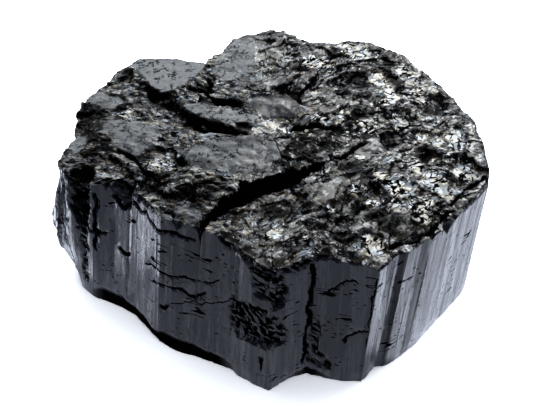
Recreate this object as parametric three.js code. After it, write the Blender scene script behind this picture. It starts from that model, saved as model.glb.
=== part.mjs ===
// A broken piece of black tourmaline: a thick fluted crystal lying on its flat base, with a
// stepped and splintered fracture across its top. Millimetres, +Z up, +X to the right of the
// face that is seen most, and the origin under the middle of the piece, on the base.
import * as THREE from "three";

// Driving dimensions
const CENTRE = [0, 1.5]; // middle of the piece in the plan coordinates that are used below
const MIDDLE_HEIGHT = 29.2; // top of the piece above its base, before its ledges
const CLIMB = 0.135; // how much the top rises towards the back, mm per mm
const CROWN = 2.8; // how much lower the top is at its left and right edges
const DISH = 0.5; // how much higher it is at its front and back edges than between them
const HALF_WIDTH = 39;
const HALF_DEPTH = 31;
const LEFT_SAG = 2; // the left quarter of the top has broken away deeper,
const SAG_X = [-10, -20]; // from none to all of it going left,
const SAG_Y = [-14, -6]; // and going back
const RIM_WEAR = 0.5; // the rim of the top is worn down by this much
const WEAR_START = 0.94; // where the wear starts, as a share of the way out to the rim
const WEAR_SIZE = 4; // distance from one dip of the wear to the next

// Mesh: square rings from the middle of the top to the rim, and rows of facets down the wall
const RINGS = 23;
const COLUMNS = 8 * RINGS;
const WALL_ROWS = 12;
const BASE_SHARE = 0.45; // size of the inner ring of the base, as a share of the outline
const BASE_STEP = 8; // columns to one side of that inner ring

// Rim of the crystal seen from above: each point is an edge between two flat faces of the wall.
const FRONT_EDGES = [
  [-37.7, 0.1], [-34.8, -3.5], [-30.3, -5.3], [-29.1, -5.1], [-26.3, -6.2], [-22.2, -9.4],
  [-17.4, -16.8], [-10.8, -19.9], [-5.1, -23.7], [-4.3, -25.3], [-2.2, -27.5], [1, -29.6],
  [2.4, -28.6], [4.3, -27.7], [7.4, -25.3], [8.2, -25.2], [11.4, -26.9], [15.4, -27.6],
  [17.4, -28.1], [20.2, -24.9], [22.6, -24.2], [24.3, -22.3], [26.7, -21], [29.2, -17.8],
  [32.7, -13.2], [36.5, -8.5], [38.6, -5.6],
];
const BACK_EDGES = [
  [39, -2.2], [38.5, 1], [38.6, 4.2], [37.8, 7.4], [37.9, 9.8], [36.8, 13], [35.2, 14.8],
  [34.5, 17.6], [32.2, 20], [31, 23], [28, 25.2], [26.3, 27.8], [23, 29],
  [20.4, 31.4], [16.4, 32.2], [12.8, 30.6], [9.2, 31.6], [6.4, 31.4], [3.8, 33], [0.4, 32.9],
  [-3.2, 31.8], [-6.6, 29.8], [-8.6, 26.6], [-10.8, 25.4], [-14.2, 26.8], [-17.6, 28.4],
  [-21, 28.2], [-24.8, 28.6], [-28.4, 27], [-30.2, 23.4], [-32.6, 20.6], [-34, 17.4],
  [-35.8, 14.6], [-36.6, 10.6], [-36.1, 7.2], [-37.1, 3.8],
];
const EDGES = [...FRONT_EDGES, ...BACK_EDGES];

// How far the rim leans out over the foot of the wall, as [x, lean in x, lean in y]
const LEAN = [
  [-39, -2.4, 0.6], [-35, -0.6, 0.1], [-30, 1.8, 0.4], [-17, 1.6, 0.3], [0, 0.8, 0.5],
  [15, 0.2, 0.2], [20, 1.4, -0.2], [39, 2.1, -0.9],
];
// The wall bulges at its left end, above a break that undercuts the foot: [x, y, reach, bulge]
const LEFT_BULGE = [-38, 1, 9, 2.6];
const BULGE_HEIGHT = 0.42; // height of the bulge, as a share of the wall's

// Ledges of the top. Each is a step along a path with its high side to the left of the path.
// The step fades out over a taper at each end of the path and over the run behind it, and a
// trench is dug along its foot.
const LEDGES = [
  { // upper lip of the fissure
    path: [[-12.2, -20.4], [-9.6, -17], [-6, -14], [-3.2, -11.2], [1.4, -8.6], [6, -5.8], [10, -3]],
    rise: 2.4, run: 13, trench: 0, taper: [12, 4],
  },
  { // front edge of the middle plate
    path: [[-17, -1], [-13.7, -5], [-11.2, -7], [-7.6, -8.9], [-5.3, -7.5], [-2.8, -5.6], [0, -3]],
    rise: 1, run: 6, trench: 0.3, taper: [4, 4],
  },
  { // lip of the long slab, over a black hollow
    path: [[-16.4, 9.4], [-14.8, 7.4], [-12.5, 5.2], [-8.7, 3.2], [-6, 2.6], [-2, 4], [2, 4.6]],
    rise: 2.2, run: 6, trench: 0.9, taper: [3, 3],
  },
  { // lip of the slab behind it
    path: [[-13.8, 12.6], [-12.2, 10.6], [-9.7, 10.6], [-4.8, 11.4], [-1, 11.2], [4, 10]],
    rise: 2.2, run: 15, trench: 0.8, taper: [4, 4],
  },
  { // front edge of the plate at the back left
    path: [[-27.6, 25.4], [-24.4, 19.4], [-19.2, 14.7], [-16.6, 17.4], [-11.6, 24]],
    rise: 2.1, run: 14, trench: 0.5, taper: [3, 3],
  },
  { // small plates down the left side
    path: [[-33, 12], [-31.4, 6], [-28, 3], [-24, 2], [-20.6, 4.6], [-18, 9]],
    rise: 1.2, run: 7, trench: 0.4, taper: [4, 4],
  },
  { // terrace over the front left wall
    path: [[-24, -4.4], [-19.4, -9], [-16.4, -12.4], [-10.6, -14]],
    rise: 1.4, run: 6, trench: 0.4, taper: [4, 4],
  },
  { // long shallow steps across the right half
    path: [[10, -17], [17, -12], [24, -9], [31, -4.6], [36.4, 2]],
    rise: 1.1, run: 8, trench: 0.5, taper: [6, 6],
  },
  {
    path: [[9, 0.6], [15, 4.6], [20, 6], [27, 10.6], [33, 13.6]],
    rise: 1, run: 8, trench: 0.5, taper: [6, 6],
  },
  {
    path: [[4, 15], [10, 17], [17, 18], [23, 22], [27.6, 23.6]],
    rise: 1, run: 8, trench: 0.4, taper: [6, 6],
  },
];
const LEDGE_SOFTNESS = 0.7;
const TRENCH_WIDTH = 1.6;

// The black fissure across the front: its middle line, with half its width and its depth
const FISSURE = {
  path: [[-12.6, -22], [-9.4, -18.4], [-7, -15.8], [-4, -12.8], [-0.6, -11], [5.4, -7.4], [9, -5]],
  halfWidth: 1.5,
  depth: 5.8,
  widening: 8, // length from the wall over which it opens up
};

// Smooth plates of the top: an ellipse [x, y, radius in x, radius in y], its height in the
// middle, and how much it climbs to the right and to the back
const PLATES = [
  { at: [-7.6, -2.6, 8.4, 4.6], height: 30.3, slope: [0.02, 0.03] }, // middle plate
  { at: [-9, 6, 5.8, 2.3], height: 32, slope: [0.03, -0.05] }, // long slab
  { at: [-19, 22, 7.6, 5.6], height: 30.6, slope: [0.04, 0.06] }, // back left
  { at: [-26, 6.4, 4.8, 3.2], height: 27.6, slope: [0.03, 0.06] }, // left
  { at: [-34, 3.8, 1.8, 2.6], height: 25.6, slope: [0.1, 0.05] }, // far left
  { at: [-6.2, 22.6, 4.4, 5.8], height: 33.4, slope: [0.05, 0.04] }, // back
  { at: [-2.6, 7.2, 3, 2.4], height: 32.6, slope: [0.02, 0.06] },
  { at: [17.8, -0.8, 3, 2.6], height: 29.3, slope: [-0.05, 0.12] },
];

const PLATE_FLATNESS = 0.9; // share of a plate's relief that is smoothed away
const PLATE_EDGE = [1.15, 0.85]; // a plate begins and is whole at these shares of its radius

// Pits of the top: [x, y, radius, depth]
const PITS = [
  [-32.2, -3.2, 2.4, 2.6], [-17.6, 12.8, 2.4, 1.4], [-11, 13.6, 2.2, 1.6], [2.6, 10.4, 2.6, 1.1],
  [21.6, 2, 2.4, 1.3], [32, 14.8, 2.2, 1.4], [6.4, -1.6, 2.2, 1], [27.4, -1, 1.8, 1.6],
  [13.4, 21, 2.6, 1.1], [25.6, 16.4, 2.2, 1.2], [9, -14, 2.6, 0.8], [-10.4, 25.4, 3, 1.2],
  [3.6, 24, 2.4, 0.9], [-23.6, 11.6, 2.2, 1],
];

// Soft swells of the whole top
const SWELLS = [
  { size: 11, height: 0.7, seed: 21 },
  { size: 5, height: 0.35, seed: 22 },
];

// Splinters of the fracture: flat chips of two sizes, with more relief on the right half
const CHIP_SIZES = [
  { size: 6.5, lift: 0.9, tilt: 0.16, seed: 3 },
  { size: 3.2, lift: 0.7, tilt: 0.3, seed: 8 },
];
const CHIP_STRETCH = 1.5; // chips are longer along the fissure than across it
const CHIP_TURN = 0.7; // direction of the fissure, radians from +X
const SMOOTHER_LEFT = 0.55; // share of the chips' relief that the left half keeps,
const LEFT_TO_RIGHT = [-8, 6]; // which ends and the full relief begins along x

// Bites out of the wall: [x, y, z, radius along the wall, radius in height, depth]
const BITES = [
  [-32.6, -4.6, 21.5, 2.4, 4.5, 1.9], // broken corner at the left
  [-24.4, -7.4, 25.2, 2.8, 3, 2.2], // scoop in the rim
  [0.6, -29.4, 19.6, 3.4, 5, 1], // shell-shaped break at the front
  [-2.2, -27.6, 11.4, 4.6, 5, 1.1],
  [-11.2, -20.2, 25.5, 1.8, 3, 1.2], // mouth of the fissure
  [30.4, -17, 25, 2.6, 2.4, 0.9],
  [36.8, 8.6, 19, 3, 6, 1.2],
  [24.8, 27.4, 12, 5, 7, 1.3],
  [-1.4, 32, 22, 4, 5, 1.4],
  [-18.6, 27.6, 8, 5, 6, 1.2],
  [-33, 15, 15, 4, 6, 1.2],
];
const FOOT_CHIP = 0.5; // the foot of the wall is worn in by up to this much
const FOOT_CHIP_HEIGHT = 2.5;

const clamp = (v) => Math.min(1, Math.max(0, v));
const smoothstep = (from, to, v) => {
  const t = clamp((v - from) / (to - from));
  return t * t * (3 - 2 * t);
};
const mix = (a, b, t) => a + (b - a) * t;

// A repeatable number from 0 to 1 for a cell of a grid
function scatter(ix, iy, seed) {
  let h = Math.imul(ix, 374761393) + Math.imul(iy, 668265263) + Math.imul(seed, 1442695041);
  h = Math.imul(h ^ (h >>> 13), 1274126177);
  return ((h ^ (h >>> 16)) >>> 0) / 4294967296;
}

// Soft bumps from -1 to 1, as wide as the given size
function bumps(x, y, size, seed) {
  const ix = Math.floor(x / size);
  const iy = Math.floor(y / size);
  const u = smoothstep(0, 1, x / size - ix);
  const v = smoothstep(0, 1, y / size - iy);
  const near = mix(scatter(ix, iy, seed), scatter(ix + 1, iy, seed), u);
  const far = mix(scatter(ix, iy + 1, seed), scatter(ix + 1, iy + 1, seed), u);
  return 2 * mix(near, far, v) - 1;
}

// Height of one layer of flat, tilted chips around the nearest of a scatter of centres
function chips(x, y, { size, lift, tilt, seed }) {
  const ix = Math.floor(x / size);
  const iy = Math.floor(y / size);
  let nearest = Infinity;
  let height = 0;
  for (let cx = ix - 1; cx <= ix + 1; cx++) {
    for (let cy = iy - 1; cy <= iy + 1; cy++) {
      const dx = x - size * (cx + scatter(cx, cy, seed));
      const dy = y - size * (cy + scatter(cx, cy, seed + 1));
      const distance = dx * dx + dy * dy;
      if (distance < nearest) {
        nearest = distance;
        const level = lift * (scatter(cx, cy, seed + 2) - 0.5);
        const slopeX = 2 * tilt * (scatter(cx, cy, seed + 3) - 0.5);
        const slopeY = 2 * tilt * (scatter(cx, cy, seed + 4) - 0.5);
        height = level + slopeX * dx + slopeY * dy;
      }
    }
  }
  return height;
}

// Distance from a point to a path, positive on its left, with how far along it that is
function alongPath(x, y, path) {
  let best = { distance: Infinity, along: 0, left: 0 };
  let length = 0;
  for (let i = 0; i + 1 < path.length; i++) {
    const [ax, ay] = path[i];
    const [bx, by] = path[i + 1];
    const dx = bx - ax;
    const dy = by - ay;
    const side = Math.hypot(dx, dy);
    const t = clamp(((x - ax) * dx + (y - ay) * dy) / (side * side));
    const distance = Math.hypot(x - ax - t * dx, y - ay - t * dy);
    if (distance < best.distance) {
      const left = Math.sign(dx * (y - ay) - dy * (x - ax)) * distance;
      best = { distance, along: length + t * side, left };
    }
    length += side;
  }
  return { ...best, length };
}

function ledge(x, y, { path, rise, run, trench, taper }) {
  const { distance, along, left, length } = alongPath(x, y, path);
  const strength = smoothstep(0, taper[0], along) * smoothstep(0, taper[1], length - along);
  const step = rise * smoothstep(-LEDGE_SOFTNESS, LEDGE_SOFTNESS, left);
  const fade = Math.exp(-((Math.max(left, 0) / run) ** 2));
  const dug = left < 0 ? trench * smoothstep(TRENCH_WIDTH, 0, distance) : 0;
  return strength * (step * fade - dug);
}

function fissure(x, y) {
  const { distance, along, length } = alongPath(x, y, FISSURE.path);
  const opening = mix(0.3, 1, smoothstep(0, FISSURE.widening, along));
  const openness = opening * (1 - (along / length) ** 3);
  const width = FISSURE.halfWidth * mix(0.5, 1, openness);
  return FISSURE.depth * openness * smoothstep(width, 0.25 * width, distance);
}

// Height of the broken top at a point of the plan
function topHeight(x, y) {
  let z = MIDDLE_HEIGHT + CLIMB * y - CROWN * (x / HALF_WIDTH) ** 2;
  z += DISH * (y / HALF_DEPTH) ** 2;
  z -= LEFT_SAG * smoothstep(...SAG_X, x) * smoothstep(...SAG_Y, y);
  for (const { size, height, seed } of SWELLS) z += height * bumps(x, y, size, seed);
  for (const one of LEDGES) z += ledge(x, y, one);
  const cos = Math.cos(CHIP_TURN);
  const sin = Math.sin(CHIP_TURN);
  const along = (x * cos + y * sin) / CHIP_STRETCH;
  const across = y * cos - x * sin;
  const relief = mix(SMOOTHER_LEFT, 1, smoothstep(...LEFT_TO_RIGHT, x));
  for (const layer of CHIP_SIZES) z += relief * chips(along, across, layer);
  for (const { at, height, slope } of PLATES) {
    const dx = (x - at[0]) / at[2];
    const dy = (y - at[1]) / at[3];
    const flat = height + slope[0] * (x - at[0]) + slope[1] * (y - at[1]);
    z = mix(z, flat, PLATE_FLATNESS * smoothstep(...PLATE_EDGE, Math.hypot(dx, dy)));
  }
  for (const [px, py, radius, depth] of PITS) {
    z -= depth * smoothstep(radius, 0.3 * radius, Math.hypot(x - px, y - py));
  }
  return z - fissure(x, y);
}

// The lean of the wall at x, between the nearest two rows of its table
function leanAt(x) {
  const last = LEAN.length - 2;
  let i = LEAN.findIndex((row) => row[0] > x) - 1;
  i = i === -2 ? last : Math.max(0, i);
  const t = clamp((x - LEAN[i][0]) / (LEAN[i + 1][0] - LEAN[i][0]));
  return [1, 2].map((j) => mix(LEAN[i][j], LEAN[i + 1][j], t));
}

// Spreads the columns round the outline, with one on every edge
function outlineColumns() {
  const count = EDGES.length;
  const sides = EDGES.map(([x, y], i) => {
    const [nx, ny] = EDGES[(i + 1) % count];
    return Math.hypot(nx - x, ny - y);
  });
  const total = sides.reduce((sum, side) => sum + side, 0);
  const points = [];
  let done = 0;
  sides.forEach((side, i) => {
    done += side;
    const end = Math.round((COLUMNS * done) / total);
    const steps = Math.max(1, Math.min(end, COLUMNS - (count - 1 - i)) - points.length);
    const [ax, ay] = EDGES[i];
    const [bx, by] = EDGES[(i + 1) % count];
    for (let k = 0; k < steps; k++) points.push([mix(ax, bx, k / steps), mix(ay, by, k / steps)]);
  });
  return points;
}

// Outward direction of the wall at each column, from its two neighbours
function outwardAt(points, i) {
  const [ax, ay] = points[(i + COLUMNS - 1) % COLUMNS];
  const [bx, by] = points[(i + 1) % COLUMNS];
  const length = Math.hypot(bx - ax, by - ay);
  return [(by - ay) / length, (ax - bx) / length];
}

function biteDepth(x, y, z) {
  let depth = 0;
  for (const [bx, by, bz, wide, high, deep] of BITES) {
    const reach = Math.hypot((x - bx) / wide, (y - by) / wide, (z - bz) / high);
    depth += deep * smoothstep(1, 0.35, reach);
  }
  return depth;
}

// A point of the wall: column i, and a share of the wall's height, 1 at the rim
function wallPoint(points, i, share, rimHeight) {
  const [x, y] = points[i];
  const [leanX, leanY] = leanAt(x);
  const [outX, outY] = outwardAt(points, i);
  const z = share * rimHeight;
  const [bulgeX, bulgeY, reach, bulge] = LEFT_BULGE;
  const near = smoothstep(reach, 0, Math.hypot(x - bulgeX, y - bulgeY));
  const belly = share < BULGE_HEIGHT ? share / BULGE_HEIGHT : (1 - share) / (1 - BULGE_HEIGHT);
  const foot = FOOT_CHIP * scatter(i, 0, 31) * smoothstep(FOOT_CHIP_HEIGHT, 0, z);
  const out = bulge * near * belly - biteDepth(x, y, z) - foot;
  return [x - leanX * (1 - share) + outX * out, y - leanY * (1 - share) + outY * out, z];
}

function buildCrystal() {
  const outline = outlineColumns();
  const vertices = [];
  const faces = [];
  const add = (x, y, z) => vertices.push(x - CENTRE[0], y - CENTRE[1], z) / 3 - 1;
  const quad = (a, b, c, d) => faces.push(a, b, c, a, c, d);

  // Top: the middle point, then square rings of 8, 16, 24 ... points out to the rim
  const rings = [[add(...CENTRE, topHeight(...CENTRE))]];
  const rim = outline.map(([x, y], i) => {
    const [outX, outY] = outwardAt(outline, i);
    const bite = biteDepth(x, y, topHeight(x, y));
    return [x - outX * bite, y - outY * bite];
  });
  for (let k = 1; k <= RINGS; k++) {
    const share = k / RINGS;
    rings.push(
      Array.from({ length: 8 * k }, (_, j) => {
        const place = j / share;
        const i = Math.floor(place);
        const [ax, ay] = rim[i];
        const [bx, by] = rim[(i + 1) % COLUMNS];
        const x = mix(CENTRE[0], mix(ax, bx, place - i), share);
        const y = mix(CENTRE[1], mix(ay, by, place - i), share);
        const worn = smoothstep(WEAR_START, 1, share);
        const wear = RIM_WEAR * worn * (1 + bumps(x, y, WEAR_SIZE, 41));
        return add(x, y, topHeight(x, y) - wear);
      }),
    );
  }
  for (let k = 1; k <= RINGS; k++) {
    const outer = rings[k];
    const inner = rings[k - 1];
    for (let side = 0; side < 8; side++) {
      for (let j = 0; j < k; j++) {
        const a = outer[side * k + j];
        const b = outer[(side * k + j + 1) % outer.length];
        const c = inner[(side * (k - 1) + j) % inner.length];
        faces.push(a, b, c);
        if (j < k - 1) faces.push(b, inner[(side * (k - 1) + j + 1) % inner.length], c);
      }
    }
  }

  // Wall: rows of points from the rim down to the foot
  let upper = rings[RINGS];
  for (let row = 1; row <= WALL_ROWS; row++) {
    const share = 1 - row / WALL_ROWS;
    const lower = upper.map((_, i) => {
      const rimHeight = vertices[3 * rings[RINGS][i] + 2];
      return add(...wallPoint(outline, i, share, rimHeight));
    });
    upper.forEach((a, i) => {
      const next = (i + 1) % COLUMNS;
      quad(a, lower[i], lower[next], upper[next]);
    });
    upper = lower;
  }

  // Base: flat, from the foot of the wall to an inner ring and then to the middle
  const inner = [];
  for (let i = 0; i < COLUMNS; i += BASE_STEP) {
    const [x, y] = outline[i];
    inner.push(add(mix(CENTRE[0], x, BASE_SHARE), mix(CENTRE[1], y, BASE_SHARE), 0));
  }
  const middle = add(...CENTRE, 0);
  inner.forEach((a, i) => {
    const b = inner[(i + 1) % inner.length];
    faces.push(a, middle, b);
    const half = BASE_STEP / 2;
    for (let j = 0; j < BASE_STEP; j++) {
      const p = upper[i * BASE_STEP + j];
      const q = upper[(i * BASE_STEP + j + 1) % COLUMNS];
      faces.push(p, j < half ? a : b, q);
    }
    faces.push(upper[i * BASE_STEP + half], a, b);
  });

  const geometry = new THREE.BufferGeometry();
  geometry.setAttribute("position", new THREE.Float32BufferAttribute(vertices, 3));
  geometry.setIndex(faces);
  geometry.computeVertexNormals();
  return geometry;
}

const schorl = new THREE.MeshStandardMaterial({
  color: 0x17181c,
  roughness: 0.3,
  metalness: 0,
});

const crystal = new THREE.Mesh(buildCrystal(), schorl);
crystal.name = "tourmaline_crystal";

const specimen = new THREE.Group();
specimen.add(crystal);
export default specimen;
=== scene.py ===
"""The looks of a piece of black tourmaline: one closed skin, fine enough to show its ledges,
plates and splinters and the grooves of its walls, with the glassy black of the mineral on it.

The skin follows the same plan as the solid that it replaces and has the same dimensions: an
outline of flat-sided flutes, and a broken top of ledges, plates and chips. Lengths are in
millimetres until the mesh, the lights and the camera are set down in metres.
"""

import math

import bpy
import numpy as np
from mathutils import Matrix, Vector


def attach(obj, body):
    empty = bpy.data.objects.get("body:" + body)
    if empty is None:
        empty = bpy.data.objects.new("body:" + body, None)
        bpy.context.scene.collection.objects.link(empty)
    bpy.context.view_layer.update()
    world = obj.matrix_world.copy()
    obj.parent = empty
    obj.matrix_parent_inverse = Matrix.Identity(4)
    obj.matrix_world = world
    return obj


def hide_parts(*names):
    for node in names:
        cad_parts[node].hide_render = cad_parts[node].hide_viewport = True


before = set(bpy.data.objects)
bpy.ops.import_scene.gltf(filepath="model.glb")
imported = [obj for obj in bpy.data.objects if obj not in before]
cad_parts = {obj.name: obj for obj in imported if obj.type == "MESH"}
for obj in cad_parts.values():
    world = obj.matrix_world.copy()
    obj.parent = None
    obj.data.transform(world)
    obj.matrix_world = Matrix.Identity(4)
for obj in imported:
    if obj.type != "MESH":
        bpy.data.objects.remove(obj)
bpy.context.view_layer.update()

CRYSTAL = "tourmaline_crystal"
MM = 0.001

# Driving dimensions of the top
MIDDLE = (0.0, 1.5)  # middle of the piece in the plan coordinates that are used below
MIDDLE_HEIGHT = 29.2
CLIMB = 0.135  # rise of the top towards the back, mm per mm
CROWN = 2.8  # fall of the top to its left and right edges
DISH = 0.5  # rise of the top to its front and back edges
HALF_WIDTH = 39.0
HALF_DEPTH = 31.0
LEFT_SAG = 2.0  # the left quarter of the top has broken away deeper
SAG_X = (-10.0, -20.0)
SAG_Y = (-14.0, -6.0)
RIM_WEAR = 0.3
WEAR_START = 0.94  # where the wear starts, as a share of the way out to the rim
WEAR_SIZE = 4.0
NEAR_RIM = 0.86  # where the relief starts to fall off towards the rim, as the same share

# Fineness of the skin
RINGS = 104
COLUMNS = 8 * RINGS
WALL_ROWS = 64
ROW_CROWDING = 1.2  # rows of the wall crowd towards the rim
BASE_SHARE = 0.45
BASE_STEP = 8
SHARP_EDGE = math.radians(16)

# Rim seen from above: each point is an edge between two flat faces of the wall
FRONT_EDGES = [
    (-37.7, 0.1), (-34.8, -3.5), (-30.3, -5.3), (-29.1, -5.1), (-26.3, -6.2), (-22.2, -9.4),
    (-17.4, -16.8), (-10.8, -19.9), (-5.1, -23.7), (-4.3, -25.3), (-2.2, -27.5), (1, -29.6),
    (2.4, -28.8), (4.3, -27.9), (7.2, -26.2), (8.2, -26), (11.4, -26.9), (15.4, -27.6),
    (17.6, -28.3), (21.2, -24.5), (22.7, -23.9), (24.5, -22.2), (26.3, -20.8), (30.4, -16.6),
    (33.4, -12.7), (36.5, -8.8), (38.6, -5.6),
]
BACK_EDGES = [
    (39.4, -2.2), (39.2, 1), (39.4, 4.2), (38.9, 7.4), (38.9, 9.8), (37.8, 13), (36.4, 15.4),
    (35.4, 18.2), (33.2, 20.8), (31.7, 23.6), (28.8, 26), (26.8, 28.4), (23.4, 29.8), (20.4, 31.6),
    (16.4, 32.2), (12.8, 30.6), (9.2, 30.8), (6.4, 31.2), (3.8, 33), (0.4, 33.2), (-3.2, 32.4),
    (-6.6, 30.6), (-8.6, 26.6), (-10.8, 25.4), (-14.2, 26.8), (-17.6, 28.4), (-21, 28.2),
    (-24.8, 28.6), (-28.4, 27.4), (-30.4, 23.8), (-32.8, 21), (-34.6, 18.4), (-36.2, 15.4),
    (-36.2, 11.4), (-35.8, 7.6), (-37, 3.8),
]
# How far the rim leans out over the foot of the wall: x, then the lean in x and in y
LEAN = np.array([
    (-39, -1.6, 1), (-35, 0.2, 1), (-30, 2.2, 2.3), (-29.1, 2.2, 3.2), (-26.3, 2.2, 3.7),
    (-22.2, 2.2, 3.4), (-17.4, 2.2, 2.6), (-14, 2.1, 3.4), (-10.8, 1.8, 3.4), (-5.1, 1.2, 2.4),
    (-4.3, 1.1, 1.6), (-2.2, 0.9, 1.5), (1, 0.7, 1.1), (4.3, 0.35, 0.5), (7.2, 0.25, 0.7),
    (8.2, 0.2, 1.7), (11.4, 0.2, 1.7), (15.4, 0.4, 1.2), (17.7, 1.6, 0.7), (21.2, 2.4, 1),
    (25, 2.8, 2), (29, 2.5, 1.6), (33, 1.9, 0.6), (39, 1.2, -0.3),
])
LEFT_BULGE = (-38.0, 1.0, 9.0, 3.0)  # x, y, reach, bulge
BULGE_HEIGHT = 0.42

# Ledges: a path with its high side on the left, the rise of the step and half its width, the
# run behind it over which it fades, the depth of the trench along its foot, and the fade at
# each end of the path
LEDGES = [
    # upper lip of the fissure
    ([(-12.2, -20.4), (-9.6, -17), (-6, -14), (-3.2, -11.2), (1.6, -9.2), (5, -7.8), (9, -5.8)],
     1.9, 0.3, 13, 0.0, (9, 10)),
    # front edge of the middle plate
    ([(-17, -1), (-13.7, -5), (-11.2, -7), (-7.6, -8.9), (-5.3, -7.5), (-2.8, -5.6), (0, -3)],
     0.8, 1.2, 6, 0.0, (4, 4)),
    # lip of the long slab, over a black hollow
    ([(-16.4, 10.8), (-15, 8.4), (-12.4, 6.5), (-10.3, 5.3), (-6.7, 3.6), (-3.4, 4.1), (1, 4.6)],
     0.9, 0.25, 6, 0.1, (2, 3)),
    # lip of the slab behind it
    ([(-13.8, 12.6), (-12.2, 10.6), (-9.7, 10.6), (-4.8, 11.4), (-1, 12.2), (3, 13)],
     1.2, 0.4, 15, 0.4, (4, 4)),
    # front edge of the plate at the back left
    ([(-28.6, 26.4), (-25.4, 21.4), (-22.6, 18.4), (-19.6, 14.6), (-16.8, 16.2), (-14, 18.8)],
     1.2, 1.2, 14, 0.0, (3, 4)),
    # small plates down the left side
    ([(-33, 12), (-31.4, 6), (-28, 3), (-24, 2), (-20.6, 4.6), (-18, 9)],
     1.0, 1.4, 7, 0.0, (4, 4)),
    # terrace over the front left wall
    ([(-29.7, 2), (-25.2, -1.4), (-20.4, -7.3), (-16.7, -12.4), (-13, -13.6), (-9.7, -14.6)],
     0.9, 0.7, 6, 0.2, (4, 3)),
    # long shallow steps across the right half
    ([(10, -17), (17, -12), (24, -9), (31, -4.6), (36.4, 2)], 0.6, 0.8, 8, 0.1, (6, 6)),
    ([(9, 0.6), (15, 4.6), (20, 6), (27, 10.6), (33, 13.6)], 0.5, 1.4, 8, 0.0, (6, 6)),
    ([(4, 15), (10, 17), (17, 18), (23, 22), (27.6, 23.6)], 0.5, 1.4, 8, 0.0, (6, 6)),
]
TRENCH_WIDTH = 1.6

# The fissure: its middle line, half its width, its depth and the length over which it opens
FISSURE_PATH = [
    (-10.6, -19), (-9, -17.6), (-7, -15.6), (-4, -13), (-0.6, -11.2), (3.6, -8.6), (6.4, -6.4),
    (9.2, -4.4), (10.8, -2.8),
]
FISSURE_HALF_WIDTH = 1.05
FISSURE_WIDEST = 1.7  # half its width at its far end
FISSURE_WIDENS = (0.4, 0.8)  # where it widens to that, as a share of its length
FISSURE_DEPTH = 6.6
FISSURE_WIDENING = 8.0
FISSURE_MOUTH = 0.3  # share of its depth at the wall
FISSURE_NARROW = 0.2  # share of its width where it closes

# Thin layers of the left half, whose edges show as fine steps
LAYER = 0.5
LAYER_WAVE = 0.7
LAYER_WAVES = [(6, 1, 81), (2.4, 0.5, 82)]  # size, share, seed
LAYER_RISER = (0.7, 0.95)  # where the riser of a layer starts and ends, as a share of the layer
LAYER_TREAD = 0.25  # share of the slope that the treads keep
LAYER_SHARE = (0.85, 0.3)  # how far the surface follows them on the left and on the right

# Smooth plates: outline, height in the middle, climb to the right and back, flatness, polish
PLATES = [
    # back left
    ([(-25.6, 24.8), (-25.4, 29), (-20.8, 30.4), (-14.9, 29.4), (-10.2, 26.4), (-11.2, 22.3),
      (-14.4, 19.3), (-16.9, 16.4), (-19.3, 15), (-22.2, 17.6), (-23.6, 20.4)],
     30.8, 0.04, 0.05, 0.93, 0.95),
    # far back left
    ([(-34, 17), (-33, 19.3), (-31.2, 20.4), (-28.4, 18.4), (-26.8, 15.8), (-28, 14.2),
      (-30.3, 14.2)], 27.6, 0.08, 0.08, 0.85, 0.7),
    # left
    ([(-29.6, 8.4), (-28.2, 9.6), (-23.8, 9.2), (-19.8, 7.2), (-18.6, 5), (-19.6, 2.4),
      (-22, 0.6), (-24.7, 0), (-27, 2.6), (-29, 5.4)], 27.5, 0.05, 0.15, 0.85, 0.85),
    # far left
    ([(-36.6, 4.6), (-35.8, 7.4), (-34, 8.2), (-32.4, 7.2), (-32.2, 3.4), (-34, 2.2)],
     25.7, 0.08, 0.05, 0.9, 0.9),
    # middle
    ([(-14.6, -5), (-13.6, -2.6), (-11.4, -0.4), (-8.6, 0.6), (-5, 0.8), (-1.4, 1), (1, 0.2),
      (2.6, -2.6), (2.4, -5.6), (-0.7, -7.6), (-4.2, -8.8), (-7.3, -8.3), (-9.9, -8.9),
      (-12.6, -7)], 30.1, 0.04, 0.21, 0.9, 0.9),
    # long slab
    ([(-15.3, 9.8), (-14.8, 11), (-11.5, 10.3), (-6.5, 8.6), (-3.8, 7.1), (-1.6, 5.8), (-2, 4.8),
      (-3.5, 4.4), (-6.7, 3.9), (-10.3, 5.6), (-12.3, 6.8), (-14.6, 8.6)],
     31.1, 0.02, 0.08, 0.92, 0.85),
    # slab behind it
    ([(-10.5, 11.9), (-8, 11.2), (-4.8, 12.2), (0, 14.2), (4, 15.6), (6, 18.5), (1, 17.6),
      (-4.6, 16.5), (-8.2, 15.5), (-10.6, 13.4)], 32.6, 0.05, 0.2, 0.5, 0.2),
    # back edge
    ([(-10.2, 20.6), (-9, 24), (-7.4, 27.4), (-6, 29.6), (-3.2, 30), (-1.7, 27.6), (-2, 22.4),
      (-3.1, 18), (-5.8, 16.4), (-9.1, 16.6)], 33.3, 0.08, 0.1, 0.8, 0.75),
    # behind the bright splinters
    ([(-4.8, 11.4), (-1.9, 13), (3.4, 12.7), (6.4, 9.7), (6, 7.2), (2.4, 6.4), (-0.8, 7.2),
      (-3.3, 8.8)], 31.2, 0.03, 0.3, 0.88, 0.6),
    # right half
    ([(15.2, -1.4), (16.4, 1.6), (19, 2.8), (21, 2.6), (20, -0.8), (17.5, -2.6)],
     28.7, 0.06, 0.22, 0.7, 0.4),
    ([(6, -11), (10, -8.4), (14, -8), (14.6, -11), (11, -14), (7.4, -14.4)],
     28.2, 0.04, 0.2, 0.7, 0.3),
    # terrace beside the mouth of the fissure
    ([(-16, -15.2), (-14.6, -14.6), (-11.8, -15.4), (-10.3, -17), (-10.8, -18.4), (-12.8, -18.4),
      (-15.2, -17)], 27, 0.05, 0.08, 0.85, 0.7),
]
PLATE_EDGE = 0.35  # width of the edge of a plate
PLATE_DULL = 0.6  # how much of the dullness a plate wipes out
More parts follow.
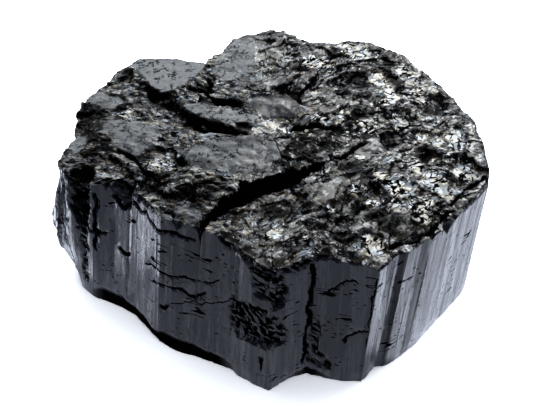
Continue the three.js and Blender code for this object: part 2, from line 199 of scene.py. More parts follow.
PLATE_WAVES = [(3.4, 0.04, 71), (1.2, 0.015, 72)]  # size, height, seed

# Flat patches of splinters that lean to the right: x, y, radius in x and in y
FACETS = [
    (17.3, 27.4, 3.9, 2.5), (10.3, 22, 3, 2.3), (20.8, 19, 1.4, 1.7), (22.9, 13.6, 1.7, 2.9),
    (27, 21.6, 2.2, 2.3), (28.4, 15.5, 1.4, 2.6), (0.5, 4.3, 3.5, 2.2), (9.9, 5.6, 1.4, 1.6),
    (13.2, 6.4, 1.4, 2.4), (18.8, 4.5, 2.2, 3.2), (24.4, 6.6, 1.6, 2), (25.3, -3.7, 1.9, 2),
    (20.5, -9.3, 2.6, 2.8), (28.9, -6.2, 2.1, 2), (33.7, 4.3, 2, 3), (34.3, -3.9, 2.2, 3.2),
    (15.2, -10.8, 1.8, 2), (10.1, -15, 1.6, 1.7), (6.1, -23.9, 1.9, 1.7), (1.7, -21.1, 1.5, 1.8),
    (16.4, -23.4, 2.2, 1.8), (16, -2.5, 1.2, 1.2), (25.5, -15.5, 2.1, 2), (35.4, -8.3, 1.6, 1.3),
    (21.5, -14.2, 1.8, 1.8), (-11.1, 11.3, 1.3, 1.1), (-8.2, 15.5, 1.8, 1.2),
    (-25, 11.4, 2.2, 1.4), (-17.2, -3, 2.6, 2), (22.6, -10, 3.2, 2.2), (29.4, -9, 3, 2),
    (27, -13, 2.6, 1.8), (17.6, -13.6, 1.6, 1.2),
]
FACET_LEAN = (-0.27, 0.13)
FACET_SPREAD = 0.1  # how much their lean varies
FACET_FLATNESS = 0.7
FACET_EDGE = (1.15, 0.85)  # where it fades out, as a share of its radius
FACET_RAGGED = [(2.2, 0.45, 95), (0.9, 0.25, 96)]  # size, share, seed of their outlines' bays

# Dull patches with few bright splinters: x, y, radius in x and in y
DULL_PATCHES = [
    (9.4, 10.8, 5, 4), (18.1, -1.2, 3.2, 2.6), (10.4, -8.4, 5, 3.4), (1.6, 9.8, 6, 3.6),
    (9, -12, 4, 3), (-0.4, 26.4, 5, 5), (6.5, 23.6, 4, 3), (8, 16.4, 5, 4), (1, 10.5, 7, 3),
    (6, -1, 4, 3), (9.4, -9.6, 5, 3.4), (1.4, -15.7, 5, 3.4), (18.5, -0.4, 2.8, 2.4),
    (17, -20, 8, 1.6),
]
DULL_EDGE = (1.2, 0.6)
DULL_LEFT = 0.45  # how dull the left half is
DULL_RIGHT = 0.4
# Dark patches, where the splinters turn away from the light: x, y, radius in x and in y
DARK_PATCHES = [
    (19, -17, 5, 2.6), (12, -16.5, 4, 2), (26, -15.4, 2.6, 3), (7.4, -19.6, 3, 1.4),
    (14, -4.6, 3, 2), (6, -1.7, 4, 4), (21.6, 1.6, 2.2, 2), (30.3, 12.5, 2.2, 3),
    (17.9, 17.9, 3, 3), (4, -5.4, 3.4, 2),
    (-32.6, 13, 4, 6), (-31, 5, 4, 6), (-22.6, 0.6, 3, 2), (-18.6, -7, 3, 3), (24.6, 18, 2, 3),
    (4.2, 13.9, 3.4, 3), (5.8, -0.6, 2.2, 2.6), (21.8, 3.4, 1.5, 2), (17.4, 9, 2.2, 2.2),
    (32.6, 16.1, 1.5, 2.4), (23.2, 24.4, 1.6, 4), (27.8, 0.2, 1.8, 2), (2.4, -15.7, 4, 3),
    (22.6, -20.6, 3.6, 2), (14.4, 14.3, 2.2, 2), (11.1, 0.9, 2.6, 2.2), (12.6, -19.3, 3, 1.4),
    (28.8, -12.6, 2, 1.6), (-31, 7.1, 2, 4), (-29.4, 2.2, 2.6, 3), (-34.6, 12, 2.4, 4),
    (-12, -13.4, 4, 2), (-18.2, -8, 3, 2), (-27, 14, 3, 1.6), (-16, 12.6, 2, 2),
    (13, -22, 3.6, 1.6), (19.6, -20, 2.6, 1.4), (9, -19, 2.6, 1.2),
]
DARK_EDGE = (1.3, 0.6)
DARK_PLATE = 0.7  # how much less dark they are on a plate

# Pits: x, y, radius, depth
PITS = [
    (-32.2, -3.2, 2.4, 2.6), (-17.6, 12.8, 2.4, 1), (-11, 13.6, 1.6, 0.8), (21.6, 2, 2, 0.5),
    (32, 14.8, 2.2, 0.6), (27.4, -1, 1.8, 0.6), (13.4, 21, 2.6, 0.5),
    (-23.6, 11.6, 1.4, 0.6), (24, 25.9, 2, 0.5), (-33.9, 13.4, 1.8, 1.2),
]
# Narrow crevices of the top: middle line, half the width, depth
CREVICES = [
    ([(-22.6, 18.2), (-21.5, 16.6), (-19.8, 14.6)], 0.7, 2.0),
    ([(-14.9, 17.5), (-12.3, 15.5), (-10.9, 14.5), (-10.4, 16.5), (-11, 18.8)], 0.5, 1.0),
    ([(-12.8, 12.4), (-10.4, 11.4), (-8.2, 10.4), (-5, 11)], 0.5, 1.6),
    ([(-15, 7.2), (-12, 5.2), (-9.6, 3.8), (-6.6, 2.4), (-3, 2.4)], 0.8, 1.5),
    ([(-15.6, -2.6), (-14.9, -4.4), (-13.4, -6)], 0.45, 1.2),
    ([(4.2, 4.3), (7.3, 4.8), (9.9, 4.3), (13.1, 4.3)], 0.45, 1.3),
    ([(9.6, -4), (12.7, -2.6), (15.1, -0.4), (17.6, 1.6)], 0.35, 0.9),
    ([(27.6, -15.2), (31, -11.6), (34, -8), (36.8, -5), (38.6, -2.9)], 0.4, 0.7),
    ([(21.7, 26.8), (23, 25.2), (25.8, 24.4)], 0.8, 1.4),
    ([(11.1, -19), (13.5, -17), (16.4, -13.3)], 0.45, 1.1),
    ([(-26.5, 2.3), (-23.3, -0.4), (-20.1, -4.7), (-17.6, -8.8)], 0.35, 0.8),
    ([(-12.9, -12.4), (-10.1, -12), (-6.8, -12.1)], 0.35, 0.8),
    ([(18.9, -24.4), (22.6, -22), (26.1, -19.4), (31.2, -13.4)], 0.4, 0.5),
]

# Soft swells of the top: size, height, seed
SWELLS = [(11, 0.7, 21), (5, 0.35, 22)]
# Chips of the fracture, large to small: size, lift, tilt, seed
CHIP_SIZES = [(6.5, 0.5, 0.1, 3), (3.2, 0.3, 0.17, 8), (1.7, 0.2, 0.2, 13), (0.9, 0.12, 0.16, 18)]
# Which way the chips run, how long they are for their width, and how coarse the splinters are
FLOWS = {"left": (-0.3, 2.3, 1.0), "right": (0.7, 1.9, 1.45)}
SMOOTHER_LEFT = 0.75
RIM_RELIEF = 0.45  # share of the chips' relief that is left at the rim
LEFT_TO_RIGHT = (-8.0, 6.0)
# Torn edges of the top: size, shift and seed of their bays, in x and in y
RAGGED = ([(2.3, 0.55, 51), (0.9, 0.3, 52)], [(2.3, 0.55, 53), (0.9, 0.3, 54)])

# Bites out of the wall: x, y, z, radius along the wall, radius in height, depth
BITES = [
    (-32.6, -4.6, 21.5, 2.4, 4.5, 1.9),  # broken corner at the left
    (-24.4, -7.4, 25.2, 2.8, 3, 2.2),  # scoop in the rim
    (0.6, -29.4, 19.6, 3.4, 5, 0.6),  # shell-shaped break at the front
    (-2.2, -27.6, 12.6, 4.4, 3.6, 0.5),
    (30.4, -17, 25, 2.6, 2.4, 0.9),
    (36.8, 8.6, 21, 3, 4, 0.8),
    (24.8, 27.4, 9, 6, 4, 0.8),
    (-1.4, 32, 27, 5, 4, 1.1),
    (-18.6, 27.6, 4, 5, 4, 0.9),
    (-33, 15, 15, 4, 6, 0.8),
]
BITE_RAGGED = [(3.1, 0.4, 97), (1.2, 0.2, 98)]  # size, share, seed of their outlines' bays
BITE_SLANT = 0.7  # how much the bays slant
BITE_BREAKS = 0.6  # how deep a bite turns the wall to broken mineral, as a share per mm
FOOT_CHIP = 0.3
FOOT_CHIP_HEIGHT = 2.5
FOOT_CHIP_WAVES = [(2.2, 0.5, 31)]  # size, share, seed
# Where the foot is undercut and painted black as the shade under it: from and to round the rim,
# height, depth
UNDERCUTS = [(9, 42, 2.9, 0.3), (55, 61, 2.4, 0.3)]
UNDERCUT_WAVES = [(3.7, 0.3, 33)]  # size, share, seed of the bays of its upper edge
UNDERCUT_FADE = 3

# Details of the wall are placed by the distance round the rim from its first edge, and height
# Flutes: flat upright strips, cut off at different heights: width, length, depth, seed
FLUTES = [(3.4, 22, 0.22, 61), (1.5, 14, 0.12, 64), (0.7, 9, 0.06, 67)]
# Cracks across the wall: path, half the width, depth
WALL_CRACKS = [
    ([(4.6, 17.5), (6.5, 15.9), (8.4, 14.9), (11.2, 15), (13.1, 15)], 0.3, 0.5),
    ([(10.3, 23.2), (10.2, 17.8), (10.2, 10.6)], 0.3, 1.0),
    ([(57.8, 24.8), (57.6, 18.9), (57.3, 12.8), (57, 6.1), (57, 2.4)], 0.45, 0.8),
    ([(14.3, 12.7), (16.2, 12.6), (18.3, 13.2)], 0.5, 0.5),
    ([(16.2, 24.3), (19.7, 23.3), (22.8, 24), (26.1, 23.2), (29.1, 23.6), (34.9, 23.9)], 0.34, 0.6),
    ([(21.9, 14.1), (24.7, 14.7), (27.4, 15.3), (31.5, 15.5), (34.2, 16.2), (39.7, 18)], 0.26, 0.4),
    ([(26.6, 13), (28.5, 13.4), (32.3, 13.5), (33.4, 12.5), (34.5, 12.7), (36.9, 14.8)], 0.3, 0.5),
    ([(29.9, 9.2), (32.3, 10.6), (35, 11.7), (38.3, 13.3), (45.3, 16.6)], 0.16, 0.2),
    ([(27.4, 8.1), (29.1, 8.3), (30.4, 9.2)], 0.35, 0.3),
    ([(59.1, 18.5), (61, 20), (63, 21.4), (65.4, 21.4)], 0.28, 0.4),
    ([(62.8, 8.4), (64.3, 10), (65.9, 10.7), (68.4, 11.9)], 0.26, 0.4),
    ([(67.9, 24), (67.9, 15.8), (67.9, 8)], 0.22, 0.4),
    ([(48.6, 7.2), (48.9, 5.6), (49.2, 3.8)], 0.35, 0.4),
    ([(13.2, 23.4), (14.5, 22.3), (15.9, 21.6), (18.1, 22.3)], 0.5, 0.8),
    ([(118, 14), (121, 15.4), (125, 14.6), (129, 16)], 0.3, 0.5),
    ([(137, 21), (141, 20.4), (146, 21.8), (151, 21)], 0.3, 0.5),
    ([(143, 8), (147, 9.4), (153, 8.8)], 0.3, 0.5),
    ([(163, 24), (166, 20), (167, 15)], 0.3, 0.4),
    ([(174, 12), (180, 13.2), (186, 12), (191, 12.8)], 0.3, 0.5),
    ([(200, 18), (204, 17), (208, 17.6)], 0.3, 0.5),
]
# Broken patches of the wall: outline, depth
WALL_BREAKS = [
    ([(45.6, 24.8), (48.3, 25.4), (52, 25.2), (53.4, 20.6), (52.6, 17.6), (49.8, 18.3),
      (47.4, 19.6), (46.4, 21.8)], 0.6),
    ([(41.4, 14.9), (45.3, 16.6), (48.6, 16.6), (52, 15.4), (53.6, 12), (53.4, 9.4), (50.8, 9.6),
      (45.9, 8.8), (43.4, 8.6), (41.4, 10.6)], 0.5),
    ([(4, 22.4), (8.8, 23.6), (9, 19.2), (7.8, 15.4), (5.6, 15.8), (4, 19)], 0.8),
    ([(6.2, 15), (7.9, 14.6), (7.9, 3), (6.4, 3)], 0.4),
    ([(57.9, 12), (59.2, 12.6), (59, 5.4), (62, 4.2), (61.6, 2.6), (58, 3.2)], 0.4),
]
# Painted shade: steep risers of the top are painted black in place of their shade
STEEP_SHADE = (0.2, 0.42)  # steepness between which the top turns black
FIBROUS = [(-9, 5), (21, 30)]  # faces with coarse fibres: from and to round the rim
FIBROUS_FADE = 1
SHADED = [(74.7, 76.0), (79.6, 81.9)]  # strips that lie in the shade: from and to round the foot
SHADED_LEAN = 0.055  # how far they lean on their way up
SHADED_WAVES = [(0.8, 0.2, 35)]  # size, shift, seed of the bays of their edges
SHADE = 0.62
LEFT_END = (-14, 3)  # the torn left end of the wall: from and to round the rim
LEFT_END_FADES = (3, 2)
TORN = [(1.4, 0.7, 0.3, 65), (0.6, 0.35, 0.25, 68)]  # size, lift, tilt, seed of its upright tears
TEAR_LENGTH = 4  # how long they are for their width
TEAR_DEPTH = 0.3  # how far back they lie on the whole
LINE_REACH = 1.3  # how near a thin line has to be to show
# Torn edges of the wall: size, shift and seed of their bays, round the rim and in height
WALL_RAGGED = ([(1.7, 0.4, 55), (0.7, 0.2, 56)], [(1.9, 0.5, 57), (0.7, 0.25, 58)])
CRACK_DUG = (0.5, 0.5)  # half the width of a crack at least, and the share of its depth dug out
STREAKS = (1.0, 0.5, 0.3, 63)  # size, lift, tilt, seed of the streaks where the wall broke
STREAK_RELIEF = 0.4
STREAK_ALONG = (0.8, 0.6)  # the direction of the streaks: round the rim, and in height
STREAK_ACROSS = (-0.2, 0.5)
BREAK_EDGE = 0.3
RIM_CHIPS = (0.9, 2.4)  # how far in and how far down the rim of the wall is chipped
RIM_CHIP_REACH = 0.3  # how far down it is chipped on the whole, as a share
RIM_CHIP_BAYS = [(3.1, 0.6, 59), (1.1, 0.4, 60)]  # size, share, seed
RIM_CHIP_LEAST = 0.05
RIM_CHIP_RELIEF = (0.6, [(1.3, 0.4, 62)])  # share of its depth on the whole, and its bumps
WHOLE_RIM = (74, 112, 0.7)  # where it is less chipped: from and to round the rim, how much less


# ---------------------------------------------------------------- repeatable relief


def smoothstep(start, end, value):
    t = np.clip((value - start) / (end - start), 0, 1)
    return t * t * (3 - 2 * t)


def mix(a, b, share):
    return a + (b - a) * share


def scatter(ix, iy, seed):
    """A repeatable number from 0 to 1 for each cell of a grid."""
    h = np.asarray(ix, np.int64) * 374761393 + np.asarray(iy, np.int64) * 668265263
    h = (h + seed * 1442695041) & 0xFFFFFFFF
    h = ((h ^ (h >> 13)) * 1274126177) & 0xFFFFFFFF
    return (h ^ (h >> 16)) / 4294967296


def bumps(x, y, size, seed):
    """Soft bumps from -1 to 1, as wide as the given size."""
    ix, iy = np.floor(x / size), np.floor(y / size)
    u, v = smoothstep(0, 1, x / size - ix), smoothstep(0, 1, y / size - iy)
    near = mix(scatter(ix, iy, seed), scatter(ix + 1, iy, seed), u)
    far = mix(scatter(ix, iy + 1, seed), scatter(ix + 1, iy + 1, seed), u)
    return 2 * mix(near, far, v) - 1


def bumpy(value, x, y, layers):
    """A value with layers of soft bumps added to it, each with a size, a height and a seed."""
    for size, height, seed in layers:
        value = value + height * bumps(x, y, size, seed)
    return value


def chips(x, y, size, lift, tilt, seed):
    """Height of one layer of flat, tilted chips around the nearest of scattered centres."""
    ix, iy = np.floor(x / size), np.floor(y / size)
    nearest = np.full(x.shape, np.inf)
    height = np.zeros(x.shape)
    for step_x in (-1, 0, 1):
        for step_y in (-1, 0, 1):
            cx, cy = ix + step_x, iy + step_y
            dx = x - size * (cx + scatter(cx, cy, seed))
            dy = y - size * (cy + scatter(cx, cy, seed + 1))
            distance = dx * dx + dy * dy
            level = lift * (scatter(cx, cy, seed + 2) - 0.5)
            slope_x = 2 * tilt * (scatter(cx, cy, seed + 3) - 0.5)
            slope_y = 2 * tilt * (scatter(cx, cy, seed + 4) - 0.5)
            closer = distance < nearest
            nearest = np.where(closer, distance, nearest)
            height = np.where(closer, level + slope_x * dx + slope_y * dy, height)
    return height


def along_path(x, y, path):
    """Distance to a path, the same with a minus sign on its right, place along it, length."""
    best = np.full(x.shape, np.inf)
    along, left = np.zeros(x.shape), np.zeros(x.shape)
    length = 0.0
    for (ax, ay), (bx, by) in zip(path, path[1:]):
        dx, dy = bx - ax, by - ay
        side = math.hypot(dx, dy)
        t = np.clip(((x - ax) * dx + (y - ay) * dy) / side**2, 0, 1)
        distance = np.hypot(x - ax - t * dx, y - ay - t * dy)
        closer = distance < best
        best = np.where(closer, distance, best)
        along = np.where(closer, length + t * side, along)
        left = np.where(closer, np.sign(dx * (y - ay) - dy * (x - ax)) * distance, left)
        length += side
    return best, left, along, length


def groove(x, y, path, half_width, depth):
    """Depth of a narrow groove that fades out at its two ends."""
    distance, _, along, length = along_path(x, y, path)
    fade = 3 * half_width
    strength = smoothstep(0, fade, along) * smoothstep(0, fade, length - along)
    return depth * strength * smoothstep(half_width, 0.3 * half_width, distance)


def nearest_line(x, y, lines):
    """Place across the nearest thin line, in halves of its width, and how near and strong it is."""
    best = np.full(x.shape, LINE_REACH)
    across = np.full(x.shape, 9.0)
    strength = np.zeros(x.shape)
    for path, half_width, _ in lines:
        distance, left, along, length = along_path(x, y, path)
        ends = smoothstep(0, 0.6, along) * smoothstep(0, 0.6, length - along)
        closer = distance < best
        best = np.where(closer, distance, best)
        across = np.where(closer, left / half_width, across)
        near = smoothstep(LINE_REACH, 0.7 * LINE_REACH, distance)
        strength = np.where(closer, ends * near, strength)
    return across, strength


def inside(x, y, outline, edge):
    """1 inside an outline and 0 outside it, changing over an edge of the given width."""
    distance = along_path(x, y, outline + outline[:1])[0]
    within = np.zeros(x.shape, bool)
    for (ax, ay), (bx, by) in zip(outline, outline[1:] + outline[:1]):
        if ay != by:
            crosses = (ay > y) != (by > y)
            within ^= crosses & (x < ax + (bx - ax) * (y - ay) / (by - ay))
    return smoothstep(-edge, edge, np.where(within, distance, -distance))


def from_middle(x, y, oval):
    """Distance from the middle of an oval, 1 being its edge."""
    middle_x, middle_y, radius_x, radius_y = oval
    return np.hypot((x - middle_x) / radius_x, (y - middle_y) / radius_y)


# ---------------------------------------------------------------- shape of the top


def ledge_height(x, y, path, rise, softness, run, trench, fades):
    distance, left, along, length = along_path(x, y, path)
    strength = smoothstep(0, fades[0], along) * smoothstep(0, fades[1], length - along)
    step = rise * smoothstep(-softness, softness, left)
    fade = np.exp(-((np.maximum(left, 0) / run) ** 2))
    dug = np.where(left < 0, trench * smoothstep(TRENCH_WIDTH, 0, distance), 0)
    return strength * (step * fade - dug)


def fissure_depth(x, y):
    distance, _, along, length = along_path(x, y, FISSURE_PATH)
    opening = mix(FISSURE_MOUTH, 1, smoothstep(0, FISSURE_WIDENING, along))
    openness = opening * (1 - (along / length) ** 3)
    width = mix(FISSURE_HALF_WIDTH, FISSURE_WIDEST, smoothstep(*FISSURE_WIDENS, along / length))
    width = width * mix(FISSURE_NARROW, 1, openness)
    return FISSURE_DEPTH * openness * smoothstep(width, 0.25 * width, distance)


def ground_height(x, y):
    """Height of the top before it is chipped: its main slopes, swells and ledges."""
    z = MIDDLE_HEIGHT + CLIMB * y - CROWN * (x / HALF_WIDTH) ** 2 + DISH * (y / HALF_DEPTH) ** 2
    z = z - LEFT_SAG * smoothstep(*SAG_X, x) * smoothstep(*SAG_Y, y)
    z = bumpy(z, x, y, SWELLS)
    for ledge in LEDGES:
        z += ledge_height(x, y, *ledge)
    return z


def layered(z, x, y, share):
    """Steps a surface into thin layers, with a steep riser at the edge of each."""
    place = z / LAYER + LAYER_WAVE * bumpy(0, x, y, LAYER_WAVES)
    rest = place - np.floor(place)
    riser = smoothstep(*LAYER_RISER, rest)
    return z + share * LAYER * (1 - LAYER_TREAD) * (riser - rest)


def top_height(x, y, near_rim):
    """Height of the broken top, and the marks that its finish goes by."""
    right = smoothstep(*LEFT_TO_RIGHT, x)
    x, y = bumpy(x, x, y, RAGGED[0]), bumpy(y, x, y, RAGGED[1])
    z = layered(ground_height(x, y), x, y, mix(*LAYER_SHARE, right))

    relief = 1 - (1 - RIM_RELIEF) * near_rim * right
    for side, share in (("left", SMOOTHER_LEFT * (1 - right)), ("right", right)):
        turn, stretch, _ = FLOWS[side]
        along = (x * math.cos(turn) + y * math.sin(turn)) / stretch
        across = y * math.cos(turn) - x * math.sin(turn)
        for layer in CHIP_SIZES:
            z += share * relief * chips(along, across, *layer)

    dull = mix(DULL_LEFT, DULL_RIGHT, right)
    polish = np.zeros(x.shape)
    glint = np.zeros(x.shape)
    centres = np.array(FACETS, float)
    heights = ground_height(centres[:, 0], centres[:, 1])
    bays = bumpy(0, x, y, FACET_RAGGED)
    for i, facet in enumerate(FACETS):
        climb_x = FACET_LEAN[0] + FACET_SPREAD * (2 * scatter(i, 0, 91) - 1)
        climb_y = FACET_LEAN[1] + FACET_SPREAD * (2 * scatter(i, 1, 91) - 1)
        share = smoothstep(*FACET_EDGE, from_middle(x, y, facet) + bays)
        flat = heights[i] + climb_x * (x - facet[0]) + climb_y * (y - facet[1])
        z = mix(z, flat, FACET_FLATNESS * share)
        glint = np.maximum(glint, share)
        dull = dull * (1 - share)

    waves = bumpy(0, x, y, PLATE_WAVES)
    for outline, height, climb_x, climb_y, flatness, shine in PLATES:
        px, py = np.mean(outline, axis=0)
        share = inside(x, y, outline, PLATE_EDGE)
        flat = height + climb_x * (x - px) + climb_y * (y - py) + waves
        z = mix(z, flat, flatness * share)
        polish = mix(polish, shine, share)
        dull = dull * (1 - PLATE_DULL * share)
        glint = glint * (1 - share)
    for oval in DULL_PATCHES:
        share = smoothstep(*DULL_EDGE, from_middle(x, y, oval))
        dull = np.maximum(dull, share * (1 - glint))

    for px, py, radius, depth in PITS:
        z -= depth * smoothstep(radius, 0.3 * radius, np.hypot(x - px, y - py))
    gloom = np.zeros(x.shape)
    for oval in DARK_PATCHES:
        share = smoothstep(*DARK_EDGE, from_middle(x, y, oval))
        gloom = np.maximum(gloom, share * (1 - glint) * (1 - DARK_PLATE * polish))
    deep = sum(groove(x, y, *crevice) for crevice in CREVICES) + fissure_depth(x, y)
    across, line = nearest_line(x, y, CREVICES)
    # crevice: black painted as shade in the deep crevices and the fissure
    return z - deep, {
        "polish": polish, "crevice": smoothstep(0.5, 1.2, deep), "dull": dull, "glint": glint,
        "gloom": gloom, "across": across, "line": line,
    }


# ---------------------------------------------------------------- shape of the wall


def outline_columns():
    """The columns' places round the rim, with one on every edge between two faces."""
    edges = np.array(FRONT_EDGES + BACK_EDGES, float)
    sides = np.hypot(*(np.roll(edges, -1, axis=0) - edges).T)
    ends = np.round(COLUMNS * np.cumsum(sides) / sides.sum()).astype(int)
    points = []
    for i, end in enumerate(ends):
        start, stop = edges[i], edges[(i + 1) % len(edges)]
        steps = end - len(points)
        points.extend(mix(start, stop, k / steps) for k in range(steps))
    return np.array(points)


class Rim:
    """The columns of the wall, where they reach the rim."""

    def __init__(self):
        self.points = outline_columns()
        onward = np.roll(self.points, -1, axis=0)
        across = onward - np.roll(self.points, 1, axis=0)
        out = np.stack([across[:, 1], -across[:, 0]], axis=1)
        self.outward = out / np.linalg.norm(out, axis=1, keepdims=True)
        sides = np.hypot(*(onward - self.points).T)
        # Distance round the rim from the first column, and the same with a minus sign behind it
        self.round = np.concatenate([[0], np.cumsum(sides)[:-1]])
        self.whole = sides.sum()
        behind = self.round > self.whole / 2
        self.from_left = np.where(behind, self.round - self.whole, self.round)


def bite_depth(x, y, z):
    depth = np.zeros(np.shape(x))
    for bx, by, bz, wide, high, deep in BITES:
        reach = np.sqrt(((x - bx) / wide) ** 2 + ((y - by) / wide) ** 2 + ((z - bz) / high) ** 2)
        reach = bumpy(reach, x + y, z + BITE_SLANT * x, BITE_RAGGED)
        depth = depth + deep * smoothstep(1, 0.5, reach)
    return depth


def flute_depth(rim, z):
    """How far upright strips of the wall lie back, each strip being cut into lengths."""
    depth = np.zeros(rim.round.shape)
    for width, length, deep, seed in FLUTES:
        count = round(rim.whole / width)
        place = rim.round / rim.whole * count
        cell = np.floor(place)
        nearest = np.full(place.shape, np.inf)
        strip = np.zeros(place.shape)
        for step in (-1, 0, 1):
            at = (cell + step) % count
            distance = np.abs(place - cell - step - scatter(at, 0, seed))
            closer = distance < nearest
            nearest = np.where(closer, distance, nearest)
            strip = np.where(closer, at, strip)
        cut = np.floor(z / (length * (0.6 + scatter(strip, 1, seed))) + scatter(strip, 2, seed))
        depth += deep * mix(scatter(strip, 3, seed), scatter(strip, 10 + cut, seed), 0.6)
    return depth


def foot_depth(rim, z):
    """How far the foot of the wall is chipped and undercut, and where the undercut is painted black
    as shade.
    """
    depth = FOOT_CHIP * bumpy(0.5, rim.round, 0 * z, FOOT_CHIP_WAVES)
    depth = depth * smoothstep(FOOT_CHIP_HEIGHT, 0, z)
    undercut_shade = np.zeros(z.shape)
    for start, end, high, deep in UNDERCUTS:
        along = smoothstep(start - UNDERCUT_FADE, start + UNDERCUT_FADE, rim.round)
        along = along * smoothstep(end + UNDERCUT_FADE, end - UNDERCUT_FADE, rim.round)
        high = high * along * bumpy(1, rim.round, 0 * z, UNDERCUT_WAVES) + 0.01
        share = along * smoothstep(high, 0.7 * high, z)
        depth += deep * share
        undercut_shade = np.maximum(undercut_shade, share)
    return depth, undercut_shade


def wall_detail(rim, z, below_rim):
    """Depth of the cracks and breaks of the wall, and the marks that its finish goes by."""
    along = bumpy(rim.round, rim.round, z, WALL_RAGGED[0])
    height = bumpy(z, rim.round, z, WALL_RAGGED[1])
    across, line = nearest_line(along, height, WALL_CRACKS)
    depth = sum(groove(along, height, path, max(half_width, CRACK_DUG[0]), CRACK_DUG[1] * deep)
                for path, half_width, deep in WALL_CRACKS)
    broken = np.zeros(z.shape)
    for outline, deep in WALL_BREAKS:
        share = inside(along, height, outline, BREAK_EDGE)
        broken = np.maximum(broken, share)
        depth += deep * share
    start, end, whole = WHOLE_RIM
    reach = RIM_CHIPS[1] * bumpy(RIM_CHIP_REACH, rim.round, 0 * z, RIM_CHIP_BAYS)
    reach = reach * (1 - whole * smoothstep(start - 3, start, rim.round)
                     * smoothstep(end + 3, end, rim.round))
    chipped = smoothstep(0, 1, 1 - below_rim / np.maximum(reach, RIM_CHIP_LEAST))
    relief, relief_bumps = RIM_CHIP_RELIEF
    depth += RIM_CHIPS[0] * chipped * bumpy(relief, rim.round, z, relief_bumps)
    broken = np.maximum(broken, np.minimum(1, 2 * chipped))
    streak_x = along * STREAK_ALONG[0] + height * STREAK_ALONG[1]
    streak_y = height * STREAK_ACROSS[1] + along * STREAK_ACROSS[0]
    depth += STREAK_RELIEF * broken * chips(streak_x, streak_y, *STREAKS)
    return depth, {"broken": broken, "across": across, "line": line}


# ---------------------------------------------------------------- the skin

# What the finish goes by, from point to point
MARKS = [
    "wall", "polish", "crevice", "broken", "dull", "glint", "fibrous", "gloom", "across", "line",
]


class Skin:
    """The points of the skin with their marks, and the triangles between them."""

    def __init__(self):
        self.places, self.faces = [], []
        self.marks = {name: [] for name in MARKS}
        self.count = 0

    def add(self, x, y, z, **values):
        """Adds points in plan coordinates with their marks, and gives their numbers."""
        x, y, z = np.broadcast_arrays(*np.atleast_1d(x, y, z))
        self.places.append(np.stack([x - MIDDLE[0], y - MIDDLE[1], z], axis=1))
        for name, rows in self.marks.items():
            rows.append(np.zeros(len(x)) + values.get(name, 0.0))
        self.count += len(x)
        return np.arange(self.count - len(x), self.count)

    def join(self, *corners):
        """Adds triangles, given as their first, second and third corners."""
        self.faces.append(np.stack(corners, axis=1))


def add_top(skin, rim):
    """Square rings of 8, 16, 24 ... points round the middle point; gives the outermost."""
    z = top_height(*rim.points.T, 1.0)[0]
    inset = bite_depth(*rim.points.T, z) + flute_depth(rim, z)
    inset += wall_detail(rim, z, 0 * z)[0]
    edge = rim.points - rim.outward * inset[:, None]
    middle = np.array(MIDDLE)
    rings = [skin.add(*middle, top_height(middle[:1], middle[1:], 0.0)[0])]
    for k in range(1, RINGS + 1):
        share = k / RINGS
        place = np.arange(8 * k) / share
        i = np.minimum(np.floor(place + 1e-9).astype(int), COLUMNS - 1)
        between = (place - i)[:, None]
        x, y = (middle + share * (mix(edge[i], edge[(i + 1) % COLUMNS], between) - middle)).T
        z, looks = top_height(x, y, smoothstep(NEAR_RIM, 1, share))
        wear = RIM_WEAR * smoothstep(WEAR_START, 1, share) * (1 + bumps(x, y, WEAR_SIZE, 41))
        rings.append(skin.add(x, y, z - wear, **looks))
    for k in range(1, RINGS + 1):
        side, j = np.divmod(np.arange(8 * k), k)
        a = rings[k]
        b = np.roll(a, -1)
        inner = rings[k - 1]
        c = inner[(side * (k - 1) + j) % len(inner)]
        d = inner[(side * (k - 1) + j + 1) % len(inner)]
        skin.join(a, b, c)
        between_corners = j < k - 1
        skin.join(b[between_corners], d[between_corners], c[between_corners])
    return rings[-1]


def add_wall(skin, rim, upper):
    """Rows of points from the rim down to the foot; gives the lowest."""
    rim_height = skin.places[-1][:, 2]
    x, y = rim.points.T
    lean_x = np.interp(x, LEAN[:, 0], LEAN[:, 1])
    lean_y = np.interp(x, LEAN[:, 0], LEAN[:, 2])
    bulge_x, bulge_y, reach, bulge = LEFT_BULGE
    near_bulge = smoothstep(reach, 0, np.hypot(x - bulge_x, y - bulge_y))
    fibrous = sum(smoothstep(start - FIBROUS_FADE, start, rim.from_left)
                  * smoothstep(end + FIBROUS_FADE, end, rim.from_left) for start, end in FIBROUS)
    torn = smoothstep(LEFT_END[0] - LEFT_END_FADES[0], LEFT_END[0], rim.from_left)
    torn = torn * smoothstep(LEFT_END[1] + LEFT_END_FADES[1], LEFT_END[1], rim.from_left)
    for row in range(1, WALL_ROWS + 1):
        share = 1 - (row / WALL_ROWS) ** ROW_CROWDING
        z = share * rim_height
        belly = share / BULGE_HEIGHT if share < BULGE_HEIGHT else (1 - share) / (1 - BULGE_HEIGHT)
        foot, undercut_shade = foot_depth(rim, z)
        at = bumpy(rim.round + SHADED_LEAN * z, rim.round, z, SHADED_WAVES)
        shaded = sum(SHADE * ((at > start) & (at < end)) for start, end in SHADED)
        bite = bite_depth(x, y, z)
        detail, looks = wall_detail(rim, z, rim_height - z)
        for tear in TORN:
            detail += torn * (TEAR_DEPTH + chips(rim.from_left, z / TEAR_LENGTH, *tear))
        out = bulge * near_bulge * smoothstep(0, 1, belly) - bite - foot - detail
        out = out - flute_depth(rim, z)
        looks["broken"] = np.maximum(looks["broken"], np.clip(BITE_BREAKS * bite, 0, 1))
        # Painted shade: the strips in the shade and the undercut foot are painted black
        looks["crevice"] = np.maximum(shaded, undercut_shade)
        lower = skin.add(
            x - lean_x * (1 - share) + rim.outward[:, 0] * out,
            y - lean_y * (1 - share) + rim.outward[:, 1] * out,
            z, wall=1.0, fibrous=fibrous, **looks,
        )
        below = np.roll(lower, -1)
        skin.join(upper, lower, below)
        skin.join(upper, below, np.roll(upper, -1))
        upper = lower
    return upper


